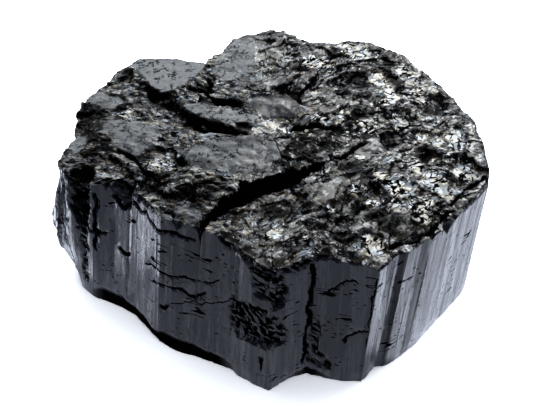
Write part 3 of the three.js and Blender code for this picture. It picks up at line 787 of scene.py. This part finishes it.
def add_base(skin, rim, foot_row):
    """Flat, from the foot to an inner ring and on to the middle."""
    middle = np.array(MIDDLE)
    x, y = (middle + BASE_SHARE * (rim.points[::BASE_STEP] - middle)).T
    inner = skin.add(x, y, 0.0, wall=1.0, broken=1.0)
    centre = skin.add(*middle, 0.0, wall=1.0, broken=1.0)[0]
    half = BASE_STEP // 2
    for i, a in enumerate(inner):
        b = inner[(i + 1) % len(inner)]
        foot = foot_row[(i * BASE_STEP + np.arange(BASE_STEP + 1)) % COLUMNS]
        fan = [(p, a if j < half else b, q) for j, (p, q) in enumerate(zip(foot, foot[1:]))]
        skin.faces.append(np.array(fan + [(a, centre, b), (foot[half], a, b)]))


def steepness(points, triangles):
    """How steep the skin is at each point: 0 where it is level and 1 where it is upright."""
    a, b, c = points[triangles.T]
    facing = np.cross(b - a, c - a)
    normals = np.zeros(points.shape)
    for corner in triangles.T:
        np.add.at(normals, corner, facing)
    return 1 - normals[:, 2] / np.linalg.norm(normals, axis=1)


def build_skin():
    """Points in metres, triangles and marks of the whole closed skin."""
    rim = Rim()
    skin = Skin()
    add_base(skin, rim, add_wall(skin, rim, add_top(skin, rim)))
    points = np.concatenate(skin.places) * MM
    faces = np.concatenate(skin.faces)
    marks = {name: np.concatenate(rows) for name, rows in skin.marks.items()}
    # Painted shade: steep risers of the top are painted black as well
    steep_shade = (1 - marks["wall"]) * smoothstep(*STEEP_SHADE, steepness(points, faces))
    marks["crevice"] = np.maximum(marks["crevice"], steep_shade)
    return points, faces, marks


def make_crystal():
    points, triangles, marks = build_skin()
    mesh = bpy.data.meshes.new("tourmaline_skin")
    mesh.vertices.add(len(points))
    mesh.vertices.foreach_set("co", points.ravel())
    mesh.loops.add(triangles.size)
    mesh.loops.foreach_set("vertex_index", triangles.ravel().astype(np.int32))
    mesh.polygons.add(len(triangles))
    mesh.polygons.foreach_set("loop_start", np.arange(0, triangles.size, 3, dtype=np.int32))
    mesh.update(calc_edges=True)
    mesh.validate()
    for name, values in marks.items():
        mark = mesh.attributes.new(name, "FLOAT", "POINT")
        mark.data.foreach_set("value", values.astype(np.float32))
    mesh.shade_smooth()
    mesh.set_sharp_from_angle(angle=SHARP_EDGE)
    crystal = bpy.data.objects.new("tourmaline_skin", mesh)
    bpy.context.scene.collection.objects.link(crystal)
    return crystal


# ---------------------------------------------------------------- finish

SCHORL_IOR = 1.64
BODY_WARM = (0.0068, 0.005, 0.0034)
BODY_COOL = (0.0026, 0.0042, 0.0078)
PLATE_BLUE = (0.004, 0.008, 0.014)
WALL_BLUE = (0.006, 0.0085, 0.018)
DUST_BROWN = (0.05, 0.043, 0.032)
# Pale colours of the painted glints, painted in place of highlights
PAINTED_GLINT_WARM = (0.29, 0.268, 0.22)
PAINTED_GLINT_COOL = (0.22, 0.258, 0.3)
# The black that real cracks and nicks and the painted shade are mixed to
CRACK_AND_SHADE_BLACK = (0.0008, 0.0008, 0.0009)
CRACK_AND_SHADE_ROUGHNESS = 0.9
HALF = (0.5, 0.5, 0.5)

# A noise is given by its size, detail, roughness and distortion, the last of them where they
# aren't plain. Patches are given by a noise, and the values between which they start to show.
# Lines are given by how far from its middle value a noise may be, squared, to show one.
HUES = ((1.8, 3.0, 0.6), 0.42, 0.58)  # patches of the cool hue
GRAIN = (0.5, 4.0, 0.65)

# Splinters: how they lean, and the black gaps and strokes between them
SPLINTERS = [(1.7, 0.46), (0.75, 0.4), (0.3, 0.34)]  # size and lean
FEATHER = (1.2, 2.0, 0.6, 1.0)  # curved splinters
FEATHER_LEAN = 0.2
WARP = (2.4, 5.0, 0.62)  # bends in the splinters' edges
WARP_REACH = 2.0
GLINT_LEAN = (0.27, -0.13, 0)  # how the brightest splinters lean
GLINT_SHARE = 0.5
AWAY_LEAN = (-0.15, 0.08, 0)  # how the others lean
CALMER = 0.7  # how much less they lean in the bright patches, the dull ones and the painted glints
PLATE_CALMER = 0.95
GAPS = (1.3, 0.08, 0.03)  # size of what lies between the gaps, and where they start and end
GAP_PATCHES = ((2.0, 2.0), 0.4, 0.52)
GAP_NOISE = (1.2, 3.0, 0.6)
GAP_WANDER = 0.6  # how much the width of the gaps varies
STROKE_CELLS = 1.5  # size of what shares one direction of strokes
STROKE_SCALE = (0.3, 1, 1)
STROKES = (0.6, 2.0, 0.5, 0.6)
STROKE_LINES = (0.0036, 0.0016)
STROKE_PATCHES = ((1.1, 2.0, 0.5), 0.4, 0.46)
FIBRE_SCALE = (0.14, 1, 1)
FIBRES = (0.4, 3.0, 0.6)
SEAM_STRETCH = 3  # how long the seams of the left half are for their width
SEAMS = (1.5, 4.0, 0.6)
SEAM_LINES = (0.0006, 0.0002)

# Painted glints: pale flakes painted on cells that are high enough, in place of highlights. Lower
# ones lie in the shade.
PAINTED_GLINT_CELLS = [(1.25, 0.68), (0.5, 0.32)]  # size and weight of the cells that they are made of
PAINTED_GLINT_START = 0.65  # how high the cells have to be, outside the bright clusters
PAINTED_GLINT_CLUSTER = 0.36  # how much less high inside them
PAINTED_GLINT_LEFT = 0.02  # how much less high on the left
PAINTED_GLINT_DULL = 0.1  # how much higher in the dull patches
PAINTED_GLINT_NOISE = (3.0, 3.0, 0.6)
PAINTED_GLINT_VARIES = 0.4
PAINTED_GLINT_EDGE = 0.02
PAINTED_GLINT_PALE = (0.62, 0.5, 0.3)  # how pale at the edge, how much more within, and how far in
GLINT_SPECKS = (0.4, 0.82)  # size of the smallest painted glints, and how high their cells have to be
GLINT_SPECK_LEFT = 0.15  # how much less high on the left
SHADES = (0.8, 0.43, 0.4)  # size of the shaded splinters, and how low their cells are
SHADE_DEPTH = 0.85
SHADE_DULL = 0.5  # how much less shaded they are in the dull patches

# Walls
UPRIGHT = (1, 1, 0.04)
STRIPS = (1.7, 0.26)  # width and lean of the flat upright strips
GROOVES = (0.4, 3.0, 0.65)
RIPPLE_SCALE = (1, 1, 0.25)
RIPPLES = (0.6, 3.0, 0.6, 1.2)  # coarse fibres
BREAK_SLANT = 0.6  # how steeply the streaks fall to the right where the walls broke
BREAK_SCALE = (5, 1, 1)
BREAK_STREAKS = (0.7, 2.0, 0.6, 0.3)
# Painted shade: where a streak of a broken wall is painted black
BREAK_SHADE = (0.56, 0.51)  # where a streak turns black
BREAK_ROUGH = (0.58, 0.51)  # where it loses the satin finish
NICK_SCALE = (0.8, 0.8, 2.2)
NICKS = (1.2, 0.3, 0.22)  # size of what holds one nick, and where it starts and ends
NICK_PATCHES = ((3.0, 3.0), 0.52, 0.6)
HAIR_SCALE = (0.14, 0.14, 1)
HAIRS = (5.0, 3.0, 0.5)
HAIR_LINES = (0.00008, 0.00003)
HAIR_PATCHES = ((4.0, 2.0), 0.56, 0.6)
CRACK_NOISE = (0.8, 4.0, 0.7)
CRACK_WANDER = 1.6  # how far the edges of a crack wander, in halves of its width
CRACK_EDGE = (0.9, 0.4)
WALL_STREAKS = ((0.3, 3.0, 0.7), 0.4, 0.75)
WALL_TONES = (1.3, 0.42, 0.6)  # width of strips of one tone, and where they start and end
WALL_SPECKS = (0.58, 0.68)
STREAK_DARK, TONE_DARK, SPECK_DARK = 0.5, 0.3, 0.5

# Plates, dull patches and dust
PLATE_CRACKS = (3.0, 5.0, 0.6)
PLATE_CRACK_LINES = (0.0008, 0.0003)
PLATE_CRACK_PATCHES = ((2.0, 2.0), 0.42, 0.5)
PLATE_SPECKS = (0.54, 0.64)
PLATE_SPECK_DARK = 0.4
GLOOM_PATCHES = ((1.6, 4.0, 0.7), 0.32, 0.48)
GLOOM_DARK = 0.95
MATT_PATCHES = ((3.6, 4.0, 0.65), 0.55, 0.45)
MATT_SHARE = (0.2, 0.8)  # how matt outside the dull patches, and how much more inside
MATT_PLATE = 0.6  # how much less matt the plates are
DUST = (0.55, 0.8)
DUST_SHARE = (0.4, 0.6)  # from the grain, and from the matt patches

# Roughness
GLASSY, PLATE_ROUGHER, MATT_ROUGHER = 0.07, 0.2, 0.4
SATIN, GROOVE_ROUGHER = 0.16, 0.16
# Relief of the bump, in millimetres
GROOVE_RELIEF, RIPPLE_RELIEF, GRAIN_RELIEF, FIBRE_RELIEF = 0.05, 0.12, 0.03, 0.06


class Value:
    """A socket of one number, or of a vector or colour, that sums and products can be made of."""

    def __init__(self, shader, socket):
        self.shader = shader
        self.socket = socket

    def _math(self, operation, *values):
        return self.shader.add("ShaderNodeMath", {"operation": operation}, dict(enumerate(values)))

    def __add__(self, other):
        return self._math("ADD", self, other)

    def __radd__(self, other):
        return self._math("ADD", other, self)

    def __sub__(self, other):
        return self._math("SUBTRACT", self, other)

    def __rsub__(self, other):
        return self._math("SUBTRACT", other, self)

    def __mul__(self, other):
        return self._math("MULTIPLY", self, other)

    def __rmul__(self, other):
        return self._math("MULTIPLY", other, self)


class Shader:
    """The nodes of one material or world."""

    def __init__(self, tree):
        self.tree = tree
        tree.nodes.clear()

    def add(self, kind, settings=None, sockets=None, output=0):
        """A new node with its settings, then its sockets' values or links; gives one output."""
        node = self.tree.nodes.new(kind)
        for name, value in (settings or {}).items():
            setattr(node, name, value)
        for name, value in (sockets or {}).items():
            if isinstance(value, Value):
                self.tree.links.new(value.socket, node.inputs[name])
            else:
                node.inputs[name].default_value = value
        return Value(self, node.outputs[output]) if len(node.outputs) else None

    def mark(self, name):
        return self.add("ShaderNodeAttribute", {"attribute_name": name}, output="Fac")

    def ramp(self, value, start, end, low=0.0, high=1.0):
        ends = {"Value": value, "From Min": start, "From Max": end, "To Min": low, "To Max": high}
        return self.add("ShaderNodeMapRange", {"interpolation_type": "SMOOTHSTEP"}, ends)

    def larger(self, a, b):
        return self.add("ShaderNodeMath", {"operation": "MAXIMUM"}, {0: a, 1: b})

    def blend(self, share, a, b):
        """Mixes two colours by a share."""
        a, b = ((*colour, 1) if isinstance(colour, tuple) else colour for colour in (a, b))
        return self.add("ShaderNodeMix", {"data_type": "RGBA"}, {"Factor": share, 6: a, 7: b}, 2)

    def vector(self, operation, a, b=(0, 0, 0)):
        return self.add("ShaderNodeVectorMath", {"operation": operation}, {0: a, 1: b})

    def scaled(self, vector, factor):
        sockets = {0: vector, "Scale": factor}
        return self.add("ShaderNodeVectorMath", {"operation": "SCALE"}, sockets)

    def noise(self, place, size, detail=2.0, roughness=0.5, distortion=0.0, output="Fac"):
        sockets = {"Vector": place, "Scale": 1 / size, "Detail": detail, "Roughness": roughness,
                   "Distortion": distortion}
        return self.add("ShaderNodeTexNoise", {}, sockets, output)

    def cells(self, place, size, output="Color", feature="F1"):
        sockets = {"Vector": place, "Scale": 1 / size}
        return self.add("ShaderNodeTexVoronoi", {"feature": feature}, sockets, output)

    def mapped(self, place, scale, rotation=(0, 0, 0), kind="POINT"):
        sockets = {"Vector": place, "Rotation": rotation, "Scale": scale}
        return self.add("ShaderNodeMapping", {"vector_type": kind}, sockets)

    def patches(self, place, noise, start, end):
        return self.ramp(self.noise(place, *noise), start, end)

    def lines(self, field, start, end):
        """Thin lines where a field passes through its middle value."""
        off = field - 0.5
        return self.ramp(off * off, start, end)


def splinters(shader, place, turn, stretch, coarseness):
    """Splinters that run one way, each with a lean of its own: their lean, the black gaps and
    strokes between them, their fibres, the heights of the cells for their painted glints and of
    the smallest ones, and the shades."""
    scale = (coarseness * stretch, coarseness, coarseness)
    turned = shader.mapped(place, scale, (0, 0, turn), "TEXTURE")
    bend = shader.vector("SUBTRACT", shader.noise(turned, *WARP, output="Color"), HALF)
    bent = shader.vector("ADD", turned, shader.scaled(bend, WARP_REACH))
    lean = shader.vector("SUBTRACT", shader.noise(bent, *FEATHER, output="Color"), HALF)
    lean = shader.scaled(lean, FEATHER_LEAN)
    for size, tilt in SPLINTERS:
        part = shader.vector("SUBTRACT", shader.cells(bent, size), HALF)
        lean = shader.vector("ADD", lean, shader.scaled(part, tilt))

    gaps = shader.cells(bent, GAPS[0], "Distance", "DISTANCE_TO_EDGE")
    gaps = gaps + GAP_WANDER * (shader.noise(turned, *GAP_NOISE) - 0.5)
    gaps = shader.patches(turned, *GAP_PATCHES) * shader.ramp(gaps, *GAPS[1:])
    each = {"Vector": turned, "Angle": shader.cells(bent, STROKE_CELLS) * (2 * math.pi)}
    each = shader.add("ShaderNodeVectorRotate", {"rotation_type": "Z_AXIS"}, each)
    strokes = shader.noise(shader.mapped(each, STROKE_SCALE), *STROKES)
    strokes = shader.lines(strokes, *STROKE_LINES) * shader.patches(turned, *STROKE_PATCHES)

    fibres = shader.noise(shader.mapped(bent, FIBRE_SCALE), *FIBRES)
    painted_glints = sum(weight * shader.cells(bent, size) for size, weight in PAINTED_GLINT_CELLS)
    specks = shader.cells(bent, GLINT_SPECKS[0])
    shades = shader.ramp(shader.cells(bent, SHADES[0]), *SHADES[1:])
    return lean, shader.larger(gaps, strokes), fibres, painted_glints, specks, shades


def paint_glints(shader, place, right, glint, dull, heights, specks):
    """Painted glints: how pale the splinters are painted in place of highlights, from the heights
    of their cells.
    """
    start = PAINTED_GLINT_START - PAINTED_GLINT_LEFT * (1 - right) - PAINTED_GLINT_CLUSTER * glint + PAINTED_GLINT_DULL * dull
    start = start + PAINTED_GLINT_VARIES * (shader.noise(place, *PAINTED_GLINT_NOISE) - 0.5)
    above = heights - start
    edge_pale, more_pale, reach = PAINTED_GLINT_PALE
    pale = edge_pale + shader.ramp(above, 0.0, reach) * more_pale
    painted_glints = shader.ramp(above, 0.0, PAINTED_GLINT_EDGE) * pale
    least = GLINT_SPECKS[1] - GLINT_SPECK_LEFT * (1 - right)
    return shader.larger(painted_glints, shader.ramp(specks - least, 0.0, PAINTED_GLINT_EDGE))


def wall_lines(shader, place, satin, across, line):
    """Short dark nicks across the walls, hair cracks and the wider cracks of the skin."""
    nicks = shader.cells(shader.mapped(place, NICK_SCALE), NICKS[0], "Distance")
    nicks = shader.ramp(nicks, *NICKS[1:]) * shader.patches(place, *NICK_PATCHES) * satin
    hairs = shader.noise(shader.mapped(place, HAIR_SCALE), *HAIRS)
    hairs = shader.lines(hairs, *HAIR_LINES) * shader.patches(place, *HAIR_PATCHES) * satin
    across = across + CRACK_WANDER * (shader.noise(place, *CRACK_NOISE) - 0.5)
    cracks = shader.ramp(across * across, *CRACK_EDGE) * line
    return shader.larger(nicks, shader.larger(hairs, cracks))


def wall_streaks(shader, upright, grain):
    """Streaks, specks and broad tones that run up the walls."""
    streaks = shader.patches(upright, *WALL_STREAKS) * STREAK_DARK
    tones = shader.ramp(shader.cells(upright, WALL_TONES[0]), *WALL_TONES[1:]) * TONE_DARK
    specks = shader.ramp(grain, *WALL_SPECKS) * SPECK_DARK
    return shader.larger(shader.larger(streaks, specks), tones)


def plate_marks(shader, place, grain):
    """Thin cracks and dark specks of the plates."""
    cracks = shader.lines(shader.noise(place, *PLATE_CRACKS), *PLATE_CRACK_LINES)
    cracks = cracks * shader.patches(place, *PLATE_CRACK_PATCHES)
    return shader.larger(cracks, shader.ramp(grain, *PLATE_SPECKS) * PLATE_SPECK_DARK)


def schorl_finish():
    material = bpy.data.materials.new("schorl_glassy_black")
    material.use_nodes = True
    shader = Shader(material.node_tree)
    wall, polish, crevice, broken, dull, glint, fibrous, gloom, across, line = (
        shader.mark(name) for name in MARKS)
    place = shader.scaled(shader.add("ShaderNodeTexCoord", output="Object"), 1 / MM)
    grain = shader.noise(place, *GRAIN)

    # Splinters too small for the skin, which run one way on the left and another on the right
    right = shader.add("ShaderNodeSeparateXYZ", {}, {"Vector": place}, output="X")
    right = shader.ramp(right, *LEFT_TO_RIGHT)
    lean, gaps, fibres, painted_glints, specks, shades = (shader.blend(right, a, b) for a, b in zip(
        splinters(shader, place, *FLOWS["left"]), splinters(shader, place, *FLOWS["right"])))
    # Painted glints: pale flakes painted in place of the softbox's highlights
    painted_glints = paint_glints(shader, place, right, glint, dull, painted_glints, specks)
    painted_glints = painted_glints * (1 - wall) * (1 - polish)

    # Where the walls broke, slanted streaks are painted black as shade or keep the satin finish
    slanted = shader.mapped(place, BREAK_SCALE, (0, BREAK_SLANT, 0), "TEXTURE")
    streak = shader.noise(slanted, *BREAK_STREAKS)
    broken_hollow_shade = shader.ramp(streak, *BREAK_SHADE) * broken * wall
    satin = wall * (1 - broken * shader.ramp(streak, *BREAK_ROUGH))

    splintered = (1 - satin) * (1 - PLATE_CALMER * polish) * (1 - CALMER * dull)
    calm = splintered * (1 - CALMER * glint) * (1 - CALMER * painted_glints)
    lean = shader.scaled(lean, calm)
    lean = shader.vector("ADD", lean, shader.scaled(GLINT_LEAN, glint * GLINT_SHARE))
    lean = shader.vector("ADD", lean, shader.scaled(AWAY_LEAN, splintered * (1 - glint)))

    # The walls: flat upright strips that lean a little, with fine grooves along them
    upright = shader.mapped(place, UPRIGHT)
    strips = shader.vector("SUBTRACT", shader.cells(upright, STRIPS[0]), HALF)
    strips = shader.scaled(shader.scaled(strips, STRIPS[1]), satin)
    normal = shader.add("ShaderNodeNewGeometry", output="Normal")
    normal = shader.vector("ADD", shader.vector("ADD", normal, lean), strips)
    normal = shader.vector("NORMALIZE", normal)
    grooves = shader.noise(upright, *GROOVES)
    ripples = shader.noise(shader.mapped(place, RIPPLE_SCALE), *RIPPLES)
    height = GROOVE_RELIEF * grooves * satin + RIPPLE_RELIEF * fibrous * ripples
    height = height + GRAIN_RELIEF * grain * polish + FIBRE_RELIEF * fibres * splintered
    bump = {"Strength": 1.0, "Distance": MM, "Height": height, "Normal": normal}
    normal = shader.add("ShaderNodeBump", {}, bump)

    # What is black: nicks, cracks, gaps and seams, and painted shade in crevices, undercuts, steep
    # risers, the hollows of broken walls, gloomy patches and shaded splinters
    turn, _, coarseness = FLOWS["left"]
    seams = (coarseness * SEAM_STRETCH, coarseness, 1)
    seams = shader.noise(shader.mapped(place, seams, (0, 0, turn), "TEXTURE"), *SEAMS)
    seams = shader.lines(seams, *SEAM_LINES) * splintered * (1 - right)
    gloom = gloom * shader.patches(place, *GLOOM_PATCHES) * GLOOM_DARK
    shades = shades * SHADE_DEPTH * (1 - painted_glints) * (1 - satin) * (1 - polish)
    shades = shades * (1 - SHADE_DULL * dull)
    cracks = plate_marks(shader, place, grain) * polish
    streaks = wall_streaks(shader, upright, grain) * satin
    lines = wall_lines(shader, place, satin, across, line)
    dark = shader.larger(lines, shader.larger(broken_hollow_shade, crevice))
    dark = shader.larger(shader.larger(dark, gaps * splintered), shader.larger(cracks, streaks))
    dark = shader.larger(dark, shader.larger(seams, gloom))
    dark = shader.larger(dark, shades)

    # Matt patches, dust and colour
    matt = shader.patches(place, *MATT_PATCHES) * (MATT_SHARE[0] + MATT_SHARE[1] * dull)
    matt = matt * (1 - satin) * (1 - MATT_PLATE * polish) * (1 - glint)
    glossy = GLASSY + PLATE_ROUGHER * polish + MATT_ROUGHER * matt
    roughness = satin * (SATIN + GROOVE_ROUGHER * grooves) + (1 - satin) * glossy
    dust = shader.larger(shader.ramp(grain, *DUST) * DUST_SHARE[0], matt * DUST_SHARE[1])
    dust = dust * (1 - satin)
    hue = shader.patches(place, *HUES)
    colour = shader.blend(polish, shader.blend(hue, BODY_WARM, BODY_COOL), PLATE_BLUE)
    colour = shader.blend(dust, shader.blend(satin, colour, WALL_BLUE), DUST_BROWN)
    # Painted highlights: the pale colour of the painted glints
    colour = shader.blend(painted_glints, colour, shader.blend(hue, PAINTED_GLINT_WARM, PAINTED_GLINT_COOL))
    glassy = {"Base Color": colour, "Roughness": roughness, "IOR": SCHORL_IOR, "Normal": normal}
    black = {"Base Color": (*CRACK_AND_SHADE_BLACK, 1), "Roughness": CRACK_AND_SHADE_ROUGHNESS,
             "Specular IOR Level": 0.0}
    surface = shader.add("ShaderNodeMixShader", {}, {
        0: dark,
        1: shader.add("ShaderNodeBsdfPrincipled", {}, glassy),
        2: shader.add("ShaderNodeBsdfPrincipled", {}, black),
    })
    shader.add("ShaderNodeOutputMaterial", {}, {"Surface": surface})
    return material


# ---------------------------------------------------------------- studio

# Softboxes: direction round from the back to the right, height, both in degrees, distance,
# width, height of the box, brightness, colour
SOFTBOXES = {
    "key_softbox": (30, 44, 0.75, 0.5, 0.42, 6.0, (0.98, 1.0, 0.98)),
    "back_softbox": (-10, 34, 0.8, 0.9, 0.45, 2.1, (0.9, 0.97, 1.03)),
    "wide_softbox": (34, 44, 0.95, 1.1, 0.95, 1.15, (0.98, 0.99, 1.0)),
}
# They light the floor from above and in front, and aren't mirrored in the crystal
FLOOR_LAMP = (180, 88, 0.7, 1.2, 1.2, 1.1, (0.99, 0.99, 1.0))
FRONT_LAMP = (125, 45, 0.8, 0.4, 0.4, 1.0, (0.99, 0.99, 1.0))
# What the crystal's walls mirror in place of the lit floor: cards that glow. The brightness of
# the whole floor, then each card: from x, to x, from y, to y in metres, brightness that it adds
FLOOR_GLOW = 0.62
CARDS = {
    "right_card": (0.016, 0.09, -0.024, 0.05, 1.3),
    "corner_card": (0.021, 0.09, -0.0325, -0.0205, 1.8),
    "left_card": (-0.09, -0.022, -0.02, 0.05, 0.4),
    "far_left_card": (-0.1, -0.042, -0.012, 0.06, 4.2),
    "far_right_card": (0.034, 0.09, -0.014, 0.05, 0.35),
}
CARD_EDGE = 0.003
FLOOR_HALF = 1.5
CARD_BLUE = (0.9, 0.97, 1.14)
FLOOR_WHITE = (0.82, 0.85, 0.9)
FLOOR_GAIN = 2.3  # overexposes the floor, so that only the shadows that touch the piece show
SOFTBOX_TARGET = (0, 0, 0.02)
# The room brightens from front to back: where it starts and ends, and its brightness at both
ROOM_GLOW = (-0.1, 0.75, 0.04, 0.9)
ROOM_BLUE = (0.93, 0.96, 1.0)
BACKDROP = 1.05  # how bright it is where the camera looks straight at it


def aim(thing, target):
    """Turns a light or camera so that it looks at a point."""
    direction = Vector(target) - thing.location
    thing.rotation_euler = direction.to_track_quat("-Z", "Y").to_euler()


def softbox(name, turn, height, distance, width, tall, radiance, colour, mirrored=True):
    """A rectangular soft light that looks at the crystal and isn't seen itself."""
    light = bpy.data.lights.new(name, "AREA")
    light.shape = "RECTANGLE"
    light.size, light.size_y = width, tall
    light.energy = radiance * math.pi * width * tall
    light.color = colour
    box = bpy.data.objects.new(name, light)
    turn, height = math.radians(turn), math.radians(height)
    box.location = distance * Vector((
        math.sin(turn) * math.cos(height), math.cos(turn) * math.cos(height), math.sin(height)
    ))
    bpy.context.scene.collection.objects.link(box)
    aim(box, SOFTBOX_TARGET)
    box.visible_camera = False
    box.visible_glossy = mirrored


def make_floor():
    corners = [(FLOOR_HALF * x, FLOOR_HALF * y, 0) for x, y in ((-1, -1), (1, -1), (1, 1), (-1, 1))]
    mesh = bpy.data.meshes.new("studio_floor")
    mesh.from_pydata(corners, [], [(0, 1, 2, 3)])
    floor = bpy.data.objects.new("studio_floor", mesh)
    bpy.context.scene.collection.objects.link(floor)
    paper = bpy.data.materials.new("white_paper")
    paper.use_nodes = True
    shader = Shader(paper.node_tree)
    seen = shader.add("ShaderNodeLightPath", output="Is Camera Ray")
    place = shader.add("ShaderNodeTexCoord", output="Object")
    x = shader.add("ShaderNodeSeparateXYZ", {}, {"Vector": place}, output="X")
    y = shader.add("ShaderNodeSeparateXYZ", {}, {"Vector": place}, output="Y")
    glow = FLOOR_GLOW
    for start_x, end_x, start_y, end_y, brightness in CARDS.values():
        card = shader.ramp(x, start_x, start_x + CARD_EDGE)
        card = card * shader.ramp(x, end_x + CARD_EDGE, end_x)
        card = card * shader.ramp(y, start_y, start_y + CARD_EDGE)
        glow = glow + brightness * card * shader.ramp(y, end_y + CARD_EDGE, end_y)
    white = tuple(FLOOR_GAIN * channel for channel in FLOOR_WHITE)
    surface = shader.add("ShaderNodeMixShader", {}, {
        0: seen,
        1: shader.add("ShaderNodeEmission", {}, {"Color": shader.scaled(CARD_BLUE, glow)}),
        2: shader.add("ShaderNodeBsdfDiffuse", {}, {"Color": (*white, 1)}),
    })
    shader.add("ShaderNodeOutputMaterial", {}, {"Surface": surface})
    mesh.materials.append(paper)


def make_room():
    world = bpy.data.worlds.new("studio_room")
    world.use_nodes = True
    bpy.context.scene.world = world
    shader = Shader(world.node_tree)
    direction = shader.add("ShaderNodeTexCoord", output="Generated")
    towards_back = shader.add("ShaderNodeSeparateXYZ", {}, {"Vector": direction}, output="Y")
    room = shader.ramp(towards_back, *ROOM_GLOW)
    seen = shader.add("ShaderNodeLightPath", output="Is Camera Ray")
    strength = room * (1 - seen) + seen * BACKDROP
    background = {"Color": (*ROOM_BLUE, 1), "Strength": strength}
    background = shader.add("ShaderNodeBackground", {}, background)
    shader.add("ShaderNodeOutputWorld", {}, {"Surface": background})


# The camera: how far it looks down, its distance from the point that it looks at, its lens
LOOK_DOWN = math.radians(38)
CAMERA_DISTANCE = 183.1 * MM
CAMERA_TARGET = Vector((0, -1.5 * MM, 15 * MM))
SENSOR = 36
LENS = 67.54
CLIP_START = 0.01


def make_camera():
    camera = bpy.data.objects.new("camera", bpy.data.cameras.new("camera"))
    camera.data.sensor_width = SENSOR
    camera.data.lens = LENS
    camera.data.clip_start = CLIP_START
    back = Vector((0, -math.cos(LOOK_DOWN), math.sin(LOOK_DOWN)))
    camera.location = CAMERA_TARGET + CAMERA_DISTANCE * back
    aim(camera, CAMERA_TARGET)
    bpy.context.scene.collection.objects.link(camera)
    bpy.context.scene.camera = camera
    bpy.context.scene.view_settings.view_transform = "Standard"


make_camera()
for name, settings in SOFTBOXES.items():
    softbox(name, *settings)
softbox("floor_lamp", *FLOOR_LAMP, mirrored=False)
softbox("front_lamp", *FRONT_LAMP, mirrored=False)
make_floor()
make_room()

crystal = make_crystal()
crystal.data.materials.append(schorl_finish())
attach(crystal, "root")
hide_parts(CRYSTAL)
